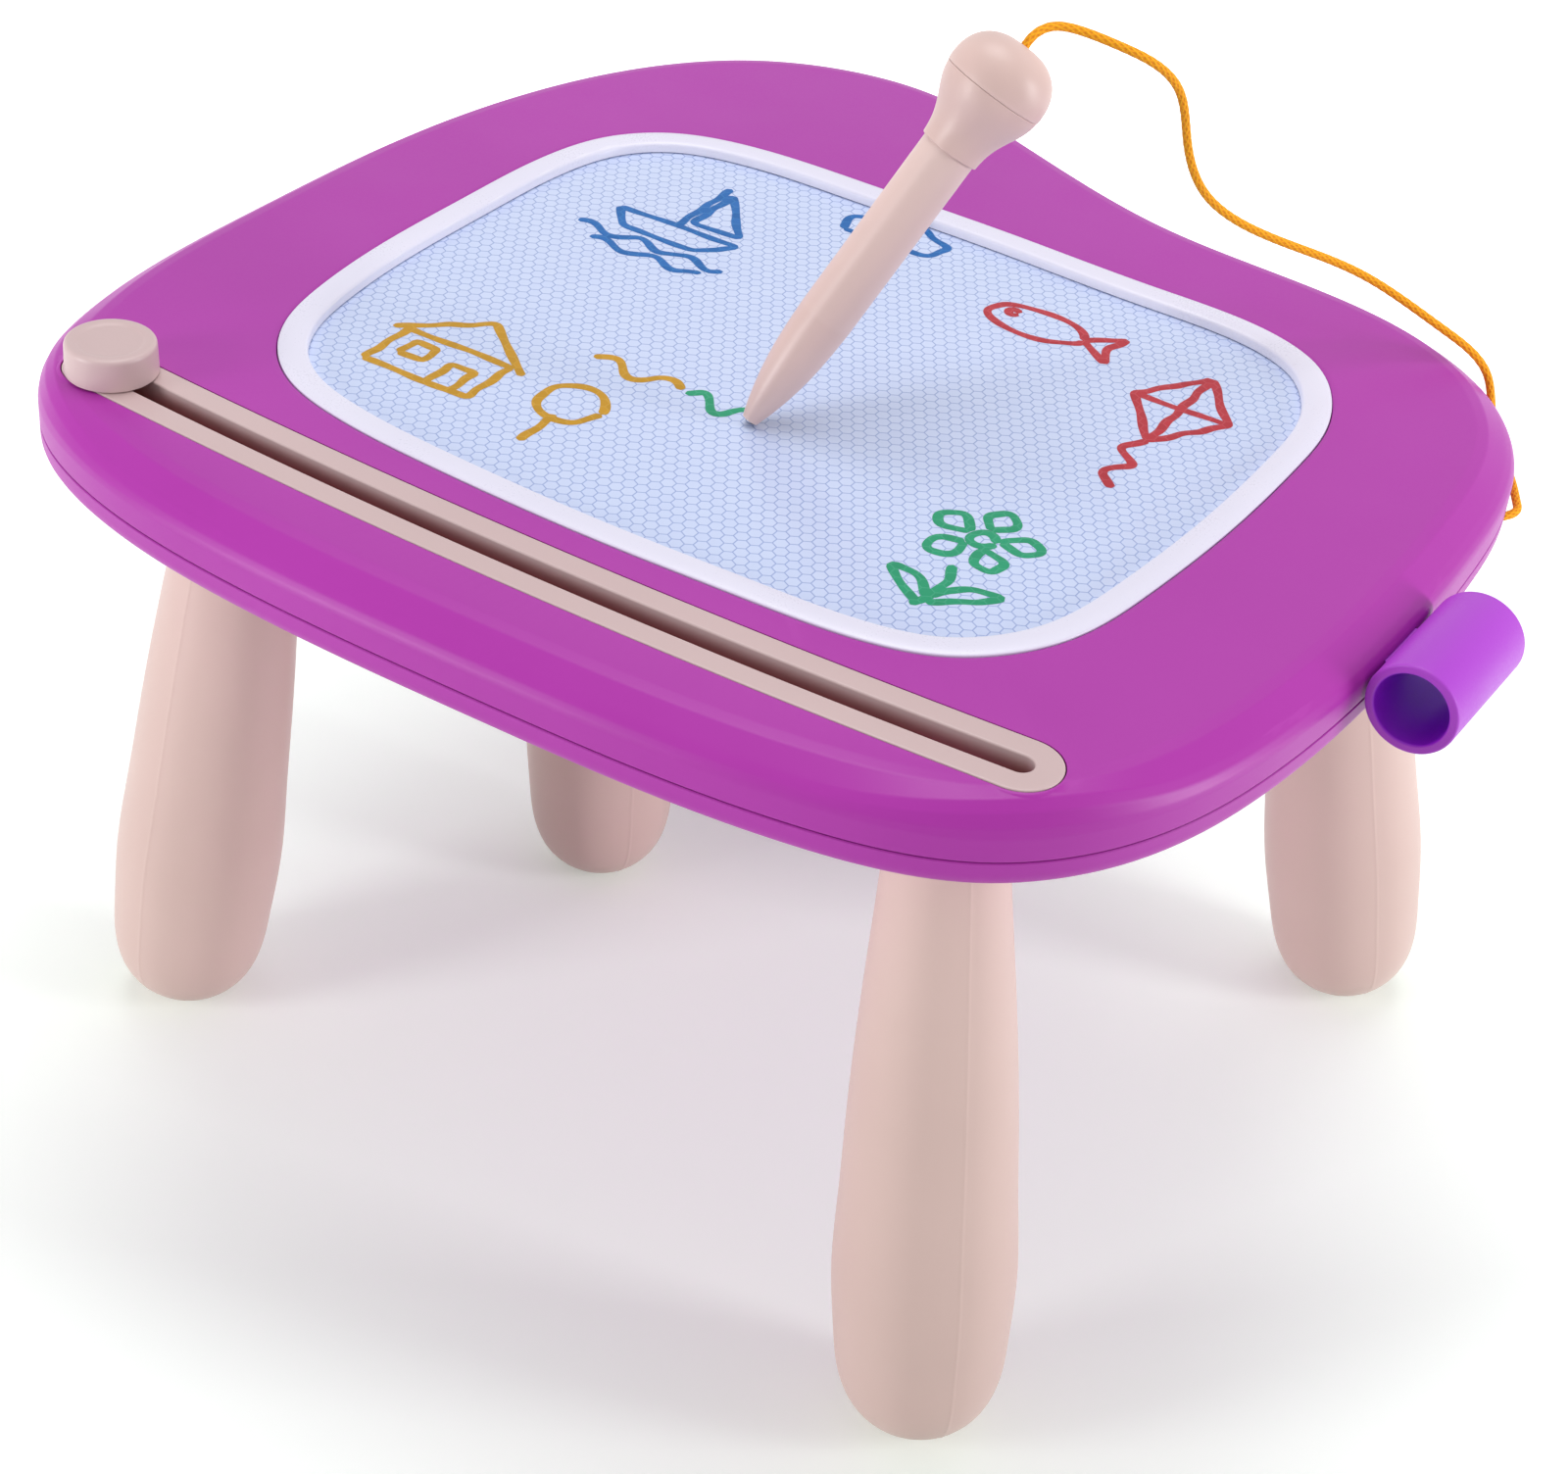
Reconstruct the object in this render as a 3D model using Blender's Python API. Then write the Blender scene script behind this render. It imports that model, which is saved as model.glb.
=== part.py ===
"""A child's magnetic drawing board on four splayed club-shaped legs.

The board is a pebble-shaped case of two moulded shells. It holds a magnetic screen in a pale
ring, an eraser bar whose knob slides along an arc-shaped track in front of the screen, and a
pen tube on its right side. The legs plug into sockets of the lower shell. A magnetic pen
stands on the screen, tied to the case by a cord. Every length is in metres and every angle in
degrees. Pieces are drawn in the board's own frame: X to the right, Y to the back, Z up, with
zero height at the flat top. The finished model stands on the floor over its own centre.
"""

import math

import bmesh
import bpy
import numpy as np
from mathutils import Matrix, Vector

# General fits
FIT_GAP = 0.0003
CUT_OVERRUN = 0.004
SINK = 0.0006
SMOOTH_ANGLE = 32
BALL_STEPS = (-60, -30, 0, 30, 60)

# The board's overall sizes
BOARD_WIDTH = 0.3832
BOARD_DEPTH = 0.376
BOARD_HEIGHT = 0.245
BOARD_THICKNESS = 0.025
SHELL_WALL = 0.0022
SEAM_DROP = 0.0165
OUTLINE_POINTS = 54
OPENING_POINTS = 240
FINE_STEPS = 24

# The pebble outline, clockwise from the left side, as shares of half the width and depth
# about its own middle, which lies a little off the middle of the screen's frame
OUTLINE_SETOVER = 0.0011
OUTLINE_SETBACK = -0.0005
OUTLINE_SHARES = (
    (-1.0, -0.156), (-0.984, 0.182), (-0.93, 0.472), (-0.835, 0.712), (-0.69, 0.893),
    (-0.5, 0.988), (-0.331, 0.998), (-0.112, 0.922), (0.056, 0.845), (0.243, 0.78),
    (0.478, 0.75), (0.688, 0.707), (0.848, 0.61), (0.962, 0.427), (1.0, 0.152),
    (0.994, -0.215), (0.959, -0.496), (0.877, -0.741), (0.734, -0.901), (0.508, -0.977),
    (0.044, -1.0), (-0.401, -0.982), (-0.669, -0.93), (-0.872, -0.812), (-0.969, -0.616),
)

# The rim: a flat top, a sloping band between two creases, and a rounded side. Each row is a
# share of the rim's width, in from the outline, and a share of its fall, down from the top
RIM_WIDTH = 0.013
RIM_FALL = 0.0095
RIM_SHARES = (
    (1.0, 0.0), (0.73, 0.07), (0.27, 0.50), (0.115, 0.68), (0.03, 0.85), (0.0, 1.0),
)
FOOT_ROUND = 0.005
ROUND_STEPS = 3
FLOOR_EDGE = 0.016
TONGUE_RISE = 0.0014
TONGUE_THICKNESS = 0.0016
TONGUE_ROOT = 0.0011
TONGUE_SLOPE = 0.001

# The screen: a ring set in the top shell over a sandwich of two films and a cell sheet. The
# aprons are what the board leaves in front of the ring and behind it
BEZEL_WIDTH = 0.278
FRONT_APRON = 0.0574
BACK_APRON = 0.0878
BEZEL_DEPTH = BOARD_DEPTH - FRONT_APRON - BACK_APRON
BEZEL_SETBACK = (FRONT_APRON - BACK_APRON) / 2
BEZEL_SHARES = (
    (1.0, 0.35), (0.992, 0.53), (0.951, 0.70), (0.865, 0.848), (0.732, 0.932), (0.432, 0.965),
    (0.06, 0.99), (-0.324, 1.0), (-0.65, 0.985), (-0.806, 0.92), (-0.917, 0.778),
    (-0.967, 0.59), (-0.988, 0.216), (-0.993, -0.123), (-0.973, -0.455), (-0.942, -0.62),
    (-0.872, -0.77), (-0.765, -0.875), (-0.62, -0.935), (-0.35, -0.977), (0.06, -1.0),
    (0.36, -0.995), (0.604, -0.976), (0.73, -0.929), (0.83, -0.834), (0.90, -0.707),
    (0.959, -0.413), (0.986, -0.123),
)
BEZEL_FACE = 0.0085
BEZEL_CROWN = 0.0008
BEZEL_SEAT_DROP = 0.0026
BEZEL_SIDE_LIP = 0.0002
# Rows across the ring's crowned top: a share of its face and a share of its crown
BEZEL_CROWN_SHARES = ((0.13, 0.65), (0.45, 1.0), (0.85, 0.55), (1.0, -0.5))
FILM_THICKNESS = 0.0004
CORE_THICKNESS = 0.0016
FILM_EDGE_GAP = 0.0008
LEDGE_WIDTH = 0.006
LEDGE_THICKNESS = 0.0012
OPENING_WALL = 0.002

# The eraser slides on an arc about a far centre behind the board, in front of the screen. Its
# ends are set in from the board's sides, and its angles follow from them
ARC_RADIUS = 2.0
ARC_SETOVER = 0.045
TRACK_SPACING = 0.0209
TRACK_SETBACK = BEZEL_SETBACK - BEZEL_DEPTH / 2 - TRACK_SPACING
TRACK_LEFT_INSET = 0.0436
TRACK_RIGHT_INSET = 0.05195
TRACK_START = math.degrees(math.asin((TRACK_LEFT_INSET - BOARD_WIDTH / 2 - ARC_SETOVER) / ARC_RADIUS))
TRACK_END = math.degrees(math.asin((BOARD_WIDTH / 2 - TRACK_RIGHT_INSET - ARC_SETOVER) / ARC_RADIUS))
TRACK_TRAVEL = TRACK_END - TRACK_START
TRACK_HALF_WIDTH = 0.0109
TRACK_PROUD = 0.0002
TRACK_THICKNESS = 0.0034
TRACK_CHAMFER = 0.0005
TRACK_SIDE_STEPS = 8
TRACK_END_STEPS = 8
SLOT_HALF_WIDTH = 0.0035
SLOT_END_GAP = 0.0004
LIP_THICKNESS = 0.0014
LIP_DROP = 0.0065
# Rows down the pad that carries the track past the sloping rim: a share of its spread beyond
# the track's edge and a share of its drop
PAD_SPREAD = 0.0039
PAD_DROP = 0.006
PAD_SHARES = ((0.23, 0.025), (0.5, 0.2), (0.82, 0.55), (1.0, 1.0))

# The eraser's own pieces
KNOB_RADIUS = 0.013
KNOB_HEIGHT = 0.0095
KNOB_EDGE = 0.0012
KNOB_DISH_RADIUS = 0.0098
KNOB_DISH_DEPTH = 0.0004
KNOB_DRAFT = 0.0003
KNOB_EDGE_STEPS = (0, 45, 90)
KNOB_SIDES = 20
STEM_RADIUS = 0.0032
CARRIAGE_RADIUS = 0.008
CARRIAGE_THICKNESS = 0.0025
CARRIAGE_SIDES = 12
BAR_HALF_WIDTH = 0.007
BAR_THICKNESS = 0.0025
BAR_OVERHANG = 0.0023
BAR_REACH = TRACK_SPACING + BEZEL_DEPTH + BAR_OVERHANG
BAR_END_STEPS = 6
STRIP_HALF_WIDTH = 0.005
STRIP_THICKNESS = 0.0015
STRIP_START = 0.009
STRIP_SHORTFALL = 0.010
KNOB_SCREW_RADIUS = 0.00125
KNOB_SCREW_LENGTH = 0.0075
KNOB_SCREW_HEAD_RADIUS = 0.0026
KNOB_SCREW_HEAD = 0.0012
GUIDE_THICKNESS = 0.002
GUIDE_SHORTFALL = 0.004
GUIDE_OVERLAP = 0.5
GUIDE_STEPS = 10

# Screws that close the case, at shares of the way round the outline
SCREW_PLACE_SHARES = (0.035, 0.175, 0.30, 0.43, 0.565, 0.69, 0.80, 0.93)
SCREW_INSET = 0.0145
SCREW_RADIUS = 0.0015
SCREW_LENGTH = 0.0115
SCREW_HEAD_RADIUS = 0.0032
SCREW_HEAD = 0.0022
SCREW_RECESS_RADIUS = 0.0038
SCREW_COLUMN_RADIUS = 0.0055
SCREW_COLUMN_TOP = 0.0198
SCREW_WEB = 0.0018
SCREW_BOSS_RADIUS = 0.0042
SCREW_SPARE = 0.0005
SCREW_SIDES = 8
COLUMN_SIDES = 10

# The legs: each is a hollow club with a plug on top. Their feet and their tops, at the
# underside of the board, are shares of half the board's width and depth
LEG_PLACE_SHARES = {
    "leg_front_left": ((-0.799, -0.617), (-0.694, -0.537)),
    "leg_front_right": ((0.699, -0.734), (0.632, -0.766)),
    "leg_back_right": ((0.840, 0.628), (0.646, 0.524)),
    "leg_back_left": ((-0.428, 0.106), (-0.459, 0.080)),
}
LEG_RADIUS = 0.026
LEG_BALL_RADIUS = 0.0236
LEG_FLAT_DEPTH = 0.0005
LEG_WALL = 0.002
LEG_SIDES = 18
LEG_BALL_STEPS = (-66, -42, -16)
# From the ball's centre to the shoulder: a share of the way and a share of the widest radius
LEG_SHARES = (
    (0.06, 0.962), (0.19, 1.0), (0.33, 0.952), (0.47, 0.90), (0.61, 0.837), (0.75, 0.755),
    (0.88, 0.67), (1.0, 0.596),
)
PLUG_RADIUS = 0.011
PLUG_LENGTH = 0.0155
PLUG_CHAMFER = 0.0008
SOCKET_RADIUS = 0.015
SOCKET_REACH = 0.008
SOCKET_ROOF_DROP = 0.0126
SOCKET_ROOF = 0.0016
SOCKET_SIDES = 16

# The pen tube on the right side, level and nearly parallel to the side
HOLDER_RADIUS = 0.013
HOLDER_BORE_RADIUS = 0.01025
HOLDER_LENGTH = 0.045
HOLDER_SIDES = 20
HOLDER_PLACE_SHARE = 0.5288
HOLDER_CLEARANCE = 0.0004
HOLDER_DROP = 0.012
HOLDER_EDGE = 0.0005
NECK_WIDTH = 0.020
NECK_HEIGHT = 0.005
NECK_LIFT = 0.0001
NECK_SINK = 0.0015
NECK_REACH = 0.022
BARB_GAP = 0.0009
BARB_WIDTH = 0.0012

# The pen, drawn upward from the centre of its tip ball, which rests on the film
PEN_TIP_PLACE = (0.0034, -0.0500)
PEN_HEADING = 52.9
PEN_LEAN = 34.0
PEN_ROLL = 54.9
PEN_SIDES = 16
TIP_BALL_RADIUS = 0.0015
TIP_BALL_SHOWS = 0.0012
TIP_RIM = 0.0006
BARREL_RADIUS = 0.008
BARREL_TAPER = 0.036
BARREL_TOP = 0.1025
BARREL_BORE_RADIUS = 0.0055
BARREL_BORE_FLOOR = 0.030
# Down the pen's rounded nose: a share of the taper's length and a share of its growth
NOSE_SHARES = ((0.0, 0.0), (0.08, 0.17), (0.22, 0.42), (0.42, 0.69), (0.65, 0.88), (1.0, 1.0))
MAGNET_RADIUS = 0.0032
MAGNET_FLOOR = 0.009
MAGNET_LENGTH = 0.017
COLLAR_BASE = 0.0925
COLLAR_BASE_RADIUS = 0.00875
COLLAR_TOP = 0.1120
COLLAR_TOP_RADIUS = 0.01425
COLLAR_BULGE = 0.0004
COLLAR_WEB = 0.002
COLLAR_WALL = 0.002
DOME_RADIUS = 0.015
DOME_HEIGHT = 0.016
DOME_WALL = 0.0024
DOME_BAND = 0.0012
DOME_STEPS = (0, 20, 40, 58, 75)
CORD_EXIT_TILT = 18.7

# The cord: its knots, the holes that it passes through and its route in the board's frame,
# from the knot inside the pen's cap to the knot inside the lower shell
CORD_RADIUS = 0.00125
CORD_HOLE_RADIUS = 0.0016
CORD_KNOT_RADIUS = 0.0020
CORD_POINTS = 48
KNOT_SIDES = 10
PEN_KNOT_REACH = 0.0109
CORD_HOLE_SHARE = 0.4514
CORD_HOLE_TURN = 39.5
CORD_HOLE_DROP = 0.020
CORD_ROUTE = (
    (0.0438, 0.0092, 0.1008),
    (0.0448, 0.0127, 0.1042),
    (0.0477, 0.0180, 0.1062),
    (0.0534, 0.0232, 0.1052),
    (0.0625, 0.0287, 0.1020),
    (0.0708, 0.0350, 0.0975),
    (0.0768, 0.0450, 0.0870),
    (0.0790, 0.0520, 0.0700),
    (0.0841, 0.0610, 0.0520),
    (0.1005, 0.0783, 0.0370),
    (0.1236, 0.1030, 0.0220),
    (0.1470, 0.1130, 0.0085),
    (0.1565, 0.1172, 0.0018),
    (0.1618, 0.1193, -0.0050),
    (0.1648, 0.1182, -0.0115),
    (0.1690, 0.1126, -0.0170),
    (0.1748, 0.1052, -0.0198),
    (0.1803, 0.0965, -0.0206),
    (0.1850, 0.0878, -0.0206),
    (0.1884, 0.0805, -0.0203),
    (0.1900, 0.0756, -0.0201),
    (0.1892, 0.0720, -0.0200),
    (0.1860, 0.0675, -0.0200),
)

VIOLET = (181, 70, 176)
LILAC = (228, 225, 242)
FILM_BLUE = (200, 214, 245)
CELL_GREY = (190, 196, 214)
PINK = (226, 199, 194)
DUSKY_PINK = (215, 191, 194)
HOLDER_VIOLET = (205, 79, 224)
STEEL = (190, 190, 192)
MAGNET_DARK = (58, 56, 58)
ORANGE = (247, 160, 22)


def linear(level):
    """One colour channel of 0 to 255, as light."""
    share = level / 255
    return share / 12.92 if share <= 0.04045 else ((share + 0.055) / 1.055) ** 2.4


def finish(name, colour, roughness, metallic=0.0):
    """A plain material of the given screen colour."""
    material = bpy.data.materials.new(name)
    material.use_nodes = True
    shader = material.node_tree.nodes["Principled BSDF"]
    shader.inputs["Base Color"].default_value = (*(linear(level) for level in colour), 1.0)
    shader.inputs["Roughness"].default_value = roughness
    shader.inputs["Metallic"].default_value = metallic
    material.diffuse_color = (*(linear(level) for level in colour), 1.0)
    return material


def make_finishes():
    """Every material of the model, by name."""
    return {
        "violet": finish("violet_plastic", VIOLET, 0.38),
        "lilac": finish("lilac_plastic", LILAC, 0.35),
        "film": finish("clear_film", FILM_BLUE, 0.25),
        "cells": finish("cell_sheet", CELL_GREY, 0.5),
        "pink": finish("pink_plastic", PINK, 0.42),
        "dusky": finish("dusky_pink_plastic", DUSKY_PINK, 0.45),
        "holder": finish("bright_violet_plastic", HOLDER_VIOLET, 0.4),
        "steel": finish("zinc_plated_steel", STEEL, 0.3, 1.0),
        "magnet": finish("ferrite_magnet", MAGNET_DARK, 0.6),
        "cord": finish("orange_cord", ORANGE, 0.8),
    }


def smooth_curve(points, closed, count):
    """Points spaced evenly along the cubic spline through the given ones."""
    points = np.asarray(points, dtype=float)
    knots = np.vstack([points, points[:1]]) if closed else points
    spans = np.linalg.norm(np.diff(knots, axis=0), axis=1)
    slopes = np.diff(knots, axis=0) / spans[:, None]
    bends = np.zeros_like(knots)
    if closed:
        before = np.roll(spans, 1)
        rows = np.arange(len(spans))
        system = np.diag(2 * (before + spans))
        system[rows, (rows + 1) % len(spans)] += spans
        system[rows, (rows - 1) % len(spans)] += before
        bends[:-1] = np.linalg.solve(system, 6 * (slopes - np.roll(slopes, 1, axis=0)))
        bends[-1] = bends[0]
    else:
        system = np.diag(2 * (spans[:-1] + spans[1:]))
        system += np.diag(spans[1:-1], 1) + np.diag(spans[1:-1], -1)
        bends[1:-1] = np.linalg.solve(system, 6 * np.diff(slopes, axis=0))
    ahead = np.linspace(0, 1, FINE_STEPS, endpoint=False)[:, None]
    behind = 1 - ahead
    pieces = []
    for start, end, bend, next_bend, span in zip(knots, knots[1:], bends, bends[1:], spans):
        curl = (behind**3 - behind) * bend + (ahead**3 - ahead) * next_bend
        pieces.append(behind * start + ahead * end + span**2 / 6 * curl)
    fine = np.vstack(pieces + [knots[-1:]])
    run = np.concatenate([[0], np.cumsum(np.linalg.norm(np.diff(fine, axis=0), axis=1))])
    places = np.linspace(0, run[-1], count + 1)[:-1] if closed else np.linspace(0, run[-1], count)
    return np.column_stack([np.interp(places, run, axis) for axis in fine.T])


def outward(points):
    """The unit normals of a closed curve, away from its inside, whichever way it runs."""
    after = np.roll(points, -1, axis=0)
    along = after - np.roll(points, 1, axis=0)
    along /= np.linalg.norm(along, axis=1)[:, None]
    turn = np.sign(np.sum(points[:, 0] * after[:, 1] - points[:, 1] * after[:, 0]))
    return turn * np.column_stack([along[:, 1], -along[:, 0]])


def at_height(points, height):
    """Plan points lifted to a height."""
    return np.column_stack([points, np.full(len(points), height)])


class Plan:
    """The board's outline and the screen's, seen from above, as rings of matching points."""

    def __init__(self):
        half = np.array([BOARD_WIDTH / 2, BOARD_DEPTH / 2])
        middle = np.array([OUTLINE_SETOVER, OUTLINE_SETBACK])
        self.edge = smooth_curve(np.array(OUTLINE_SHARES) * half + middle, True, OUTLINE_POINTS)
        self.edge_normals = outward(self.edge)
        self.centre = np.array([0.0, BEZEL_SETBACK])
        half = np.array([BEZEL_WIDTH / 2, BEZEL_DEPTH / 2])
        opening = np.array(BEZEL_SHARES) * half + self.centre
        self.opening = smooth_curve(opening, True, OPENING_POINTS)
        self.opening_normals = outward(self.opening)
        away = self.edge - self.centre
        self.bearings = np.arctan2(away[:, 1], away[:, 0])

    def rim_ring(self, inset, drop):
        """A ring this far in from the outline and this far below the top."""
        return at_height(self.edge - inset * self.edge_normals, -drop)

    def screen_ring(self, spread, drop):
        """A ring this far out from the screen's opening, a point on each outline point's ray."""
        away = self.opening + spread * self.opening_normals - self.centre
        bearing = np.arctan2(away[:, 1], away[:, 0])
        reach = np.interp(self.bearings, *self.sorted_pair(bearing, away), period=2 * math.pi)
        ray = np.column_stack([np.cos(self.bearings), np.sin(self.bearings)])
        return at_height(self.centre + reach[:, None] * ray, -drop)

    @staticmethod
    def sorted_pair(bearing, away):
        """Bearings in order, each with its distance from the centre."""
        order = np.argsort(bearing)
        return bearing[order], np.linalg.norm(away, axis=1)[order]

    def edge_place(self, share, inset):
        """A plan point inset from the outline at a share of the way round, and its normal."""
        spot = share * OUTLINE_POINTS
        low = int(spot) % OUTLINE_POINTS
        high = (low + 1) % OUTLINE_POINTS
        part = spot - int(spot)
        point = (1 - part) * self.edge[low] + part * self.edge[high]
        normal = (1 - part) * self.edge_normals[low] + part * self.edge_normals[high]
        return point - inset * normal, normal


def arc_place(radius, angle):
    """A plan point on an arc about the eraser's far centre."""
    turn = math.radians(angle)
    centre = np.array([ARC_SETOVER, TRACK_SETBACK + ARC_RADIUS])
    return centre + radius * np.array([math.sin(turn), -math.cos(turn)])


def pill_ring(half_width, drop):
    """A closed band along the track, round at both ends, as a clockwise ring."""
    slack = math.degrees(SLOT_END_GAP / ARC_RADIUS)
    start, end = TRACK_START - slack, TRACK_START + TRACK_TRAVEL + slack
    points = []
    for angle in np.linspace(start, end, TRACK_SIDE_STEPS):
        points.append(arc_place(ARC_RADIUS - half_width, angle))
    for turn in np.linspace(90, -90, TRACK_END_STEPS)[1:-1]:
        points.append(arc_place(ARC_RADIUS, end) + bow(half_width, turn + end))
    for angle in np.linspace(end, start, TRACK_SIDE_STEPS):
        points.append(arc_place(ARC_RADIUS + half_width, angle))
    for turn in np.linspace(-90, -270, TRACK_END_STEPS)[1:-1]:
        points.append(arc_place(ARC_RADIUS, start) + bow(half_width, turn + start))
    return at_height(np.array(points), -drop)


def circle_ring(centre, radius, sides, axis=Vector((0, 0, 1))):
    """A round ring square to an axis."""
    turn = Vector((0, 0, 1)).rotation_difference(axis).to_matrix()
    ring = []
    for step in range(sides):
        angle = 2 * math.pi * step / sides
        spoke = Vector((radius * math.cos(angle), radius * math.sin(angle), 0))
        ring.append(Vector(centre) + turn @ spoke)
    return ring


def bow(radius, turn):
    """A point at an angle on a circle about the origin."""
    angle = math.radians(turn)
    return np.array([radius * math.cos(angle), radius * math.sin(angle)])


def skinned(rings, looped=False):
    """Faces between neighbouring rings; looped joins the last to the first, or both are capped."""
    shape = bmesh.new()
    loops = [[shape.verts.new(point) for point in ring] for ring in rings]
    pairs = list(zip(loops, loops[1:]))
    if looped:
        pairs.append((loops[-1], loops[0]))
    for low, high in pairs:
        for index in range(len(low)):
            after = (index + 1) % len(low)
            shape.faces.new((low[index], low[after], high[after], high[index]))
    if not looped:
        shape.faces.new(loops[0])
        shape.faces.new(loops[-1])
    bmesh.ops.recalc_face_normals(shape, faces=shape.faces)
    return shape


def turned(profile, sides, looped=False):
    """A profile of radius and height turned about Z; a radius of zero closes on the axis."""
    shape = bmesh.new()
    loops = []
    for radius, height in profile:
        if radius == 0:
            loops.append([shape.verts.new((0, 0, height))])
        else:
            ring = circle_ring((0, 0, height), radius, sides)
            loops.append([shape.verts.new(point) for point in ring])
    pairs = list(zip(loops, loops[1:]))
    if looped:
        pairs.append((loops[-1], loops[0]))
    for low, high in pairs:
        if len(low) == len(high) == 1:
            continue
        for index in range(sides):
            after = (index + 1) % sides
            corners = [low[index % len(low)], low[after % len(low)]]
            corners += [high[after % len(high)], high[index % len(high)]]
            shape.faces.new(dict.fromkeys(corners))
    for loop in (loops[0], loops[-1]):
        if not looped and len(loop) > 1:
            shape.faces.new(loop)
    bmesh.ops.recalc_face_normals(shape, faces=shape.faces)
    return shape


def ball_profile(radius):
    """Half a circle about the origin as rows of radius and height, from its lowest point up."""
    return [(0, -radius)] + [tuple(bow(radius, turn)) for turn in BALL_STEPS] + [(0, radius)]


def joined(shapes):
    """Several separate closed shapes in one."""
    whole = bmesh.new()
    for shape in shapes:
        piece = bpy.data.meshes.new("piece")
        shape.to_mesh(piece)
        shape.free()
        whole.from_mesh(piece)
        bpy.data.meshes.remove(piece)
    return whole


def add_object(name, shape, material, parent, matrix=None):
    """A named object of the shape, in its parent's frame."""
    mesh = bpy.data.meshes.new(name)
    shape.to_mesh(mesh)
    shape.free()
    mesh.shade_smooth()
    mesh.set_sharp_from_angle(angle=math.radians(SMOOTH_ANGLE))
    if material:
        mesh.materials.append(material)
    item = bpy.data.objects.new(name, mesh)
    bpy.context.scene.collection.objects.link(item)
    item.parent = parent
    if matrix is not None:
        item.matrix_basis = matrix
    return item


def add_frame(name, parent=None, matrix=None):
    """An empty that carries other objects."""
    frame = bpy.data.objects.new(name, None)
    frame.empty_display_size = FOOT_ROUND
    bpy.context.scene.collection.objects.link(frame)
    frame.parent = parent
    if matrix is not None:
        frame.matrix_basis = matrix
    return frame


def work(target, tool_name, shape, operation, matrix=None):
    """Join or cut the target with a helper shape that lies in the target's parent's frame."""
    tool = add_object(tool_name, shape, None, target.parent, matrix)
    tool.hide_render = True
    tool.display_type = "WIRE"
    step = target.modifiers.new(tool_name, "BOOLEAN")
    step.operation = operation
    step.solver = "EXACT"
    step.object = tool


def rod(centre, radius, low, high, sides):
    """An upright round rod between two heights."""
    return skinned([circle_ring((*centre, height), radius, sides) for height in (low, high)])


def offset_profile(profile, distance):
    """A profile of inset and drop moved inward by a wall's thickness."""
    path = np.array(profile)
    along = np.gradient(path, axis=0)
    along /= np.linalg.norm(along, axis=1)[:, None]
    return path + distance * np.column_stack([along[:, 1], -along[:, 0]])


def rim_profile():
    """The rim's outer section as rows of inset and drop, from the flat top to its widest."""
    return [(RIM_WIDTH * inset, RIM_FALL * drop) for inset, drop in RIM_SHARES]


def leg_axis(name):
    """A leg's ball centre, its top at the board's underside, and its upward direction."""
    foot, top = LEG_PLACE_SHARES[name]
    half = (BOARD_WIDTH / 2, BOARD_DEPTH / 2)
    rise = LEG_BALL_RADIUS - LEG_FLAT_DEPTH
    ball = Vector((foot[0] * half[0], foot[1] * half[1], rise - BOARD_HEIGHT))
    crown = Vector((top[0] * half[0], top[1] * half[1], -BOARD_THICKNESS))
    return ball, crown, (crown - ball).normalized()


def slanted_rod(place, axis, radius, bottom, roof_drop, sides):
    """A rod along a slanted axis, square at its bottom and level at its roof."""
    base = circle_ring(place + axis * bottom, radius, sides, axis)
    roof = [point + axis * ((-roof_drop - point.z) / axis.z) for point in base]
    return skinned([base, roof])


def screw_places(plan):
    """Plan points of the case screws."""
    return [plan.edge_place(share, SCREW_INSET)[0] for share in SCREW_PLACE_SHARES]


def holder_frame(plan):
    """The pen tube's frame: X away from the rim that the tube lies against, Y along the tube."""
    centre, normal = plan.edge_place(HOLDER_PLACE_SHARE, -HOLDER_RADIUS - HOLDER_CLEARANCE)
    place = Matrix.Translation((*centre, -HOLDER_DROP))
    return place @ Matrix.Rotation(math.atan2(normal[1], normal[0]), 4, "Z")


def block(low, high):
    """A plain block between two corners."""
    shape = bmesh.new()
    bmesh.ops.create_cube(shape, size=1.0)
    size = Vector(high) - Vector(low)
    place = Matrix.Translation((Vector(high) + Vector(low)) / 2) @ Matrix.Diagonal((*size, 1))
    bmesh.ops.transform(shape, matrix=place, verts=shape.verts)
    return shape


def stack_drops():
    """How far below the top each layer of the screen lies, as name: (upper face, lower face)."""
    drops = {}
    level = BEZEL_SEAT_DROP
    layers = (
        ("screen_film", FILM_THICKNESS), ("honeycomb_core", CORE_THICKNESS),
        ("screen_back_film", FILM_THICKNESS), ("ledge", LEDGE_THICKNESS),
    )
    for name, thickness in layers:
        upper = level + FIT_GAP
        level = upper + thickness
        drops[name] = (upper, level)
    return drops


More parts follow.
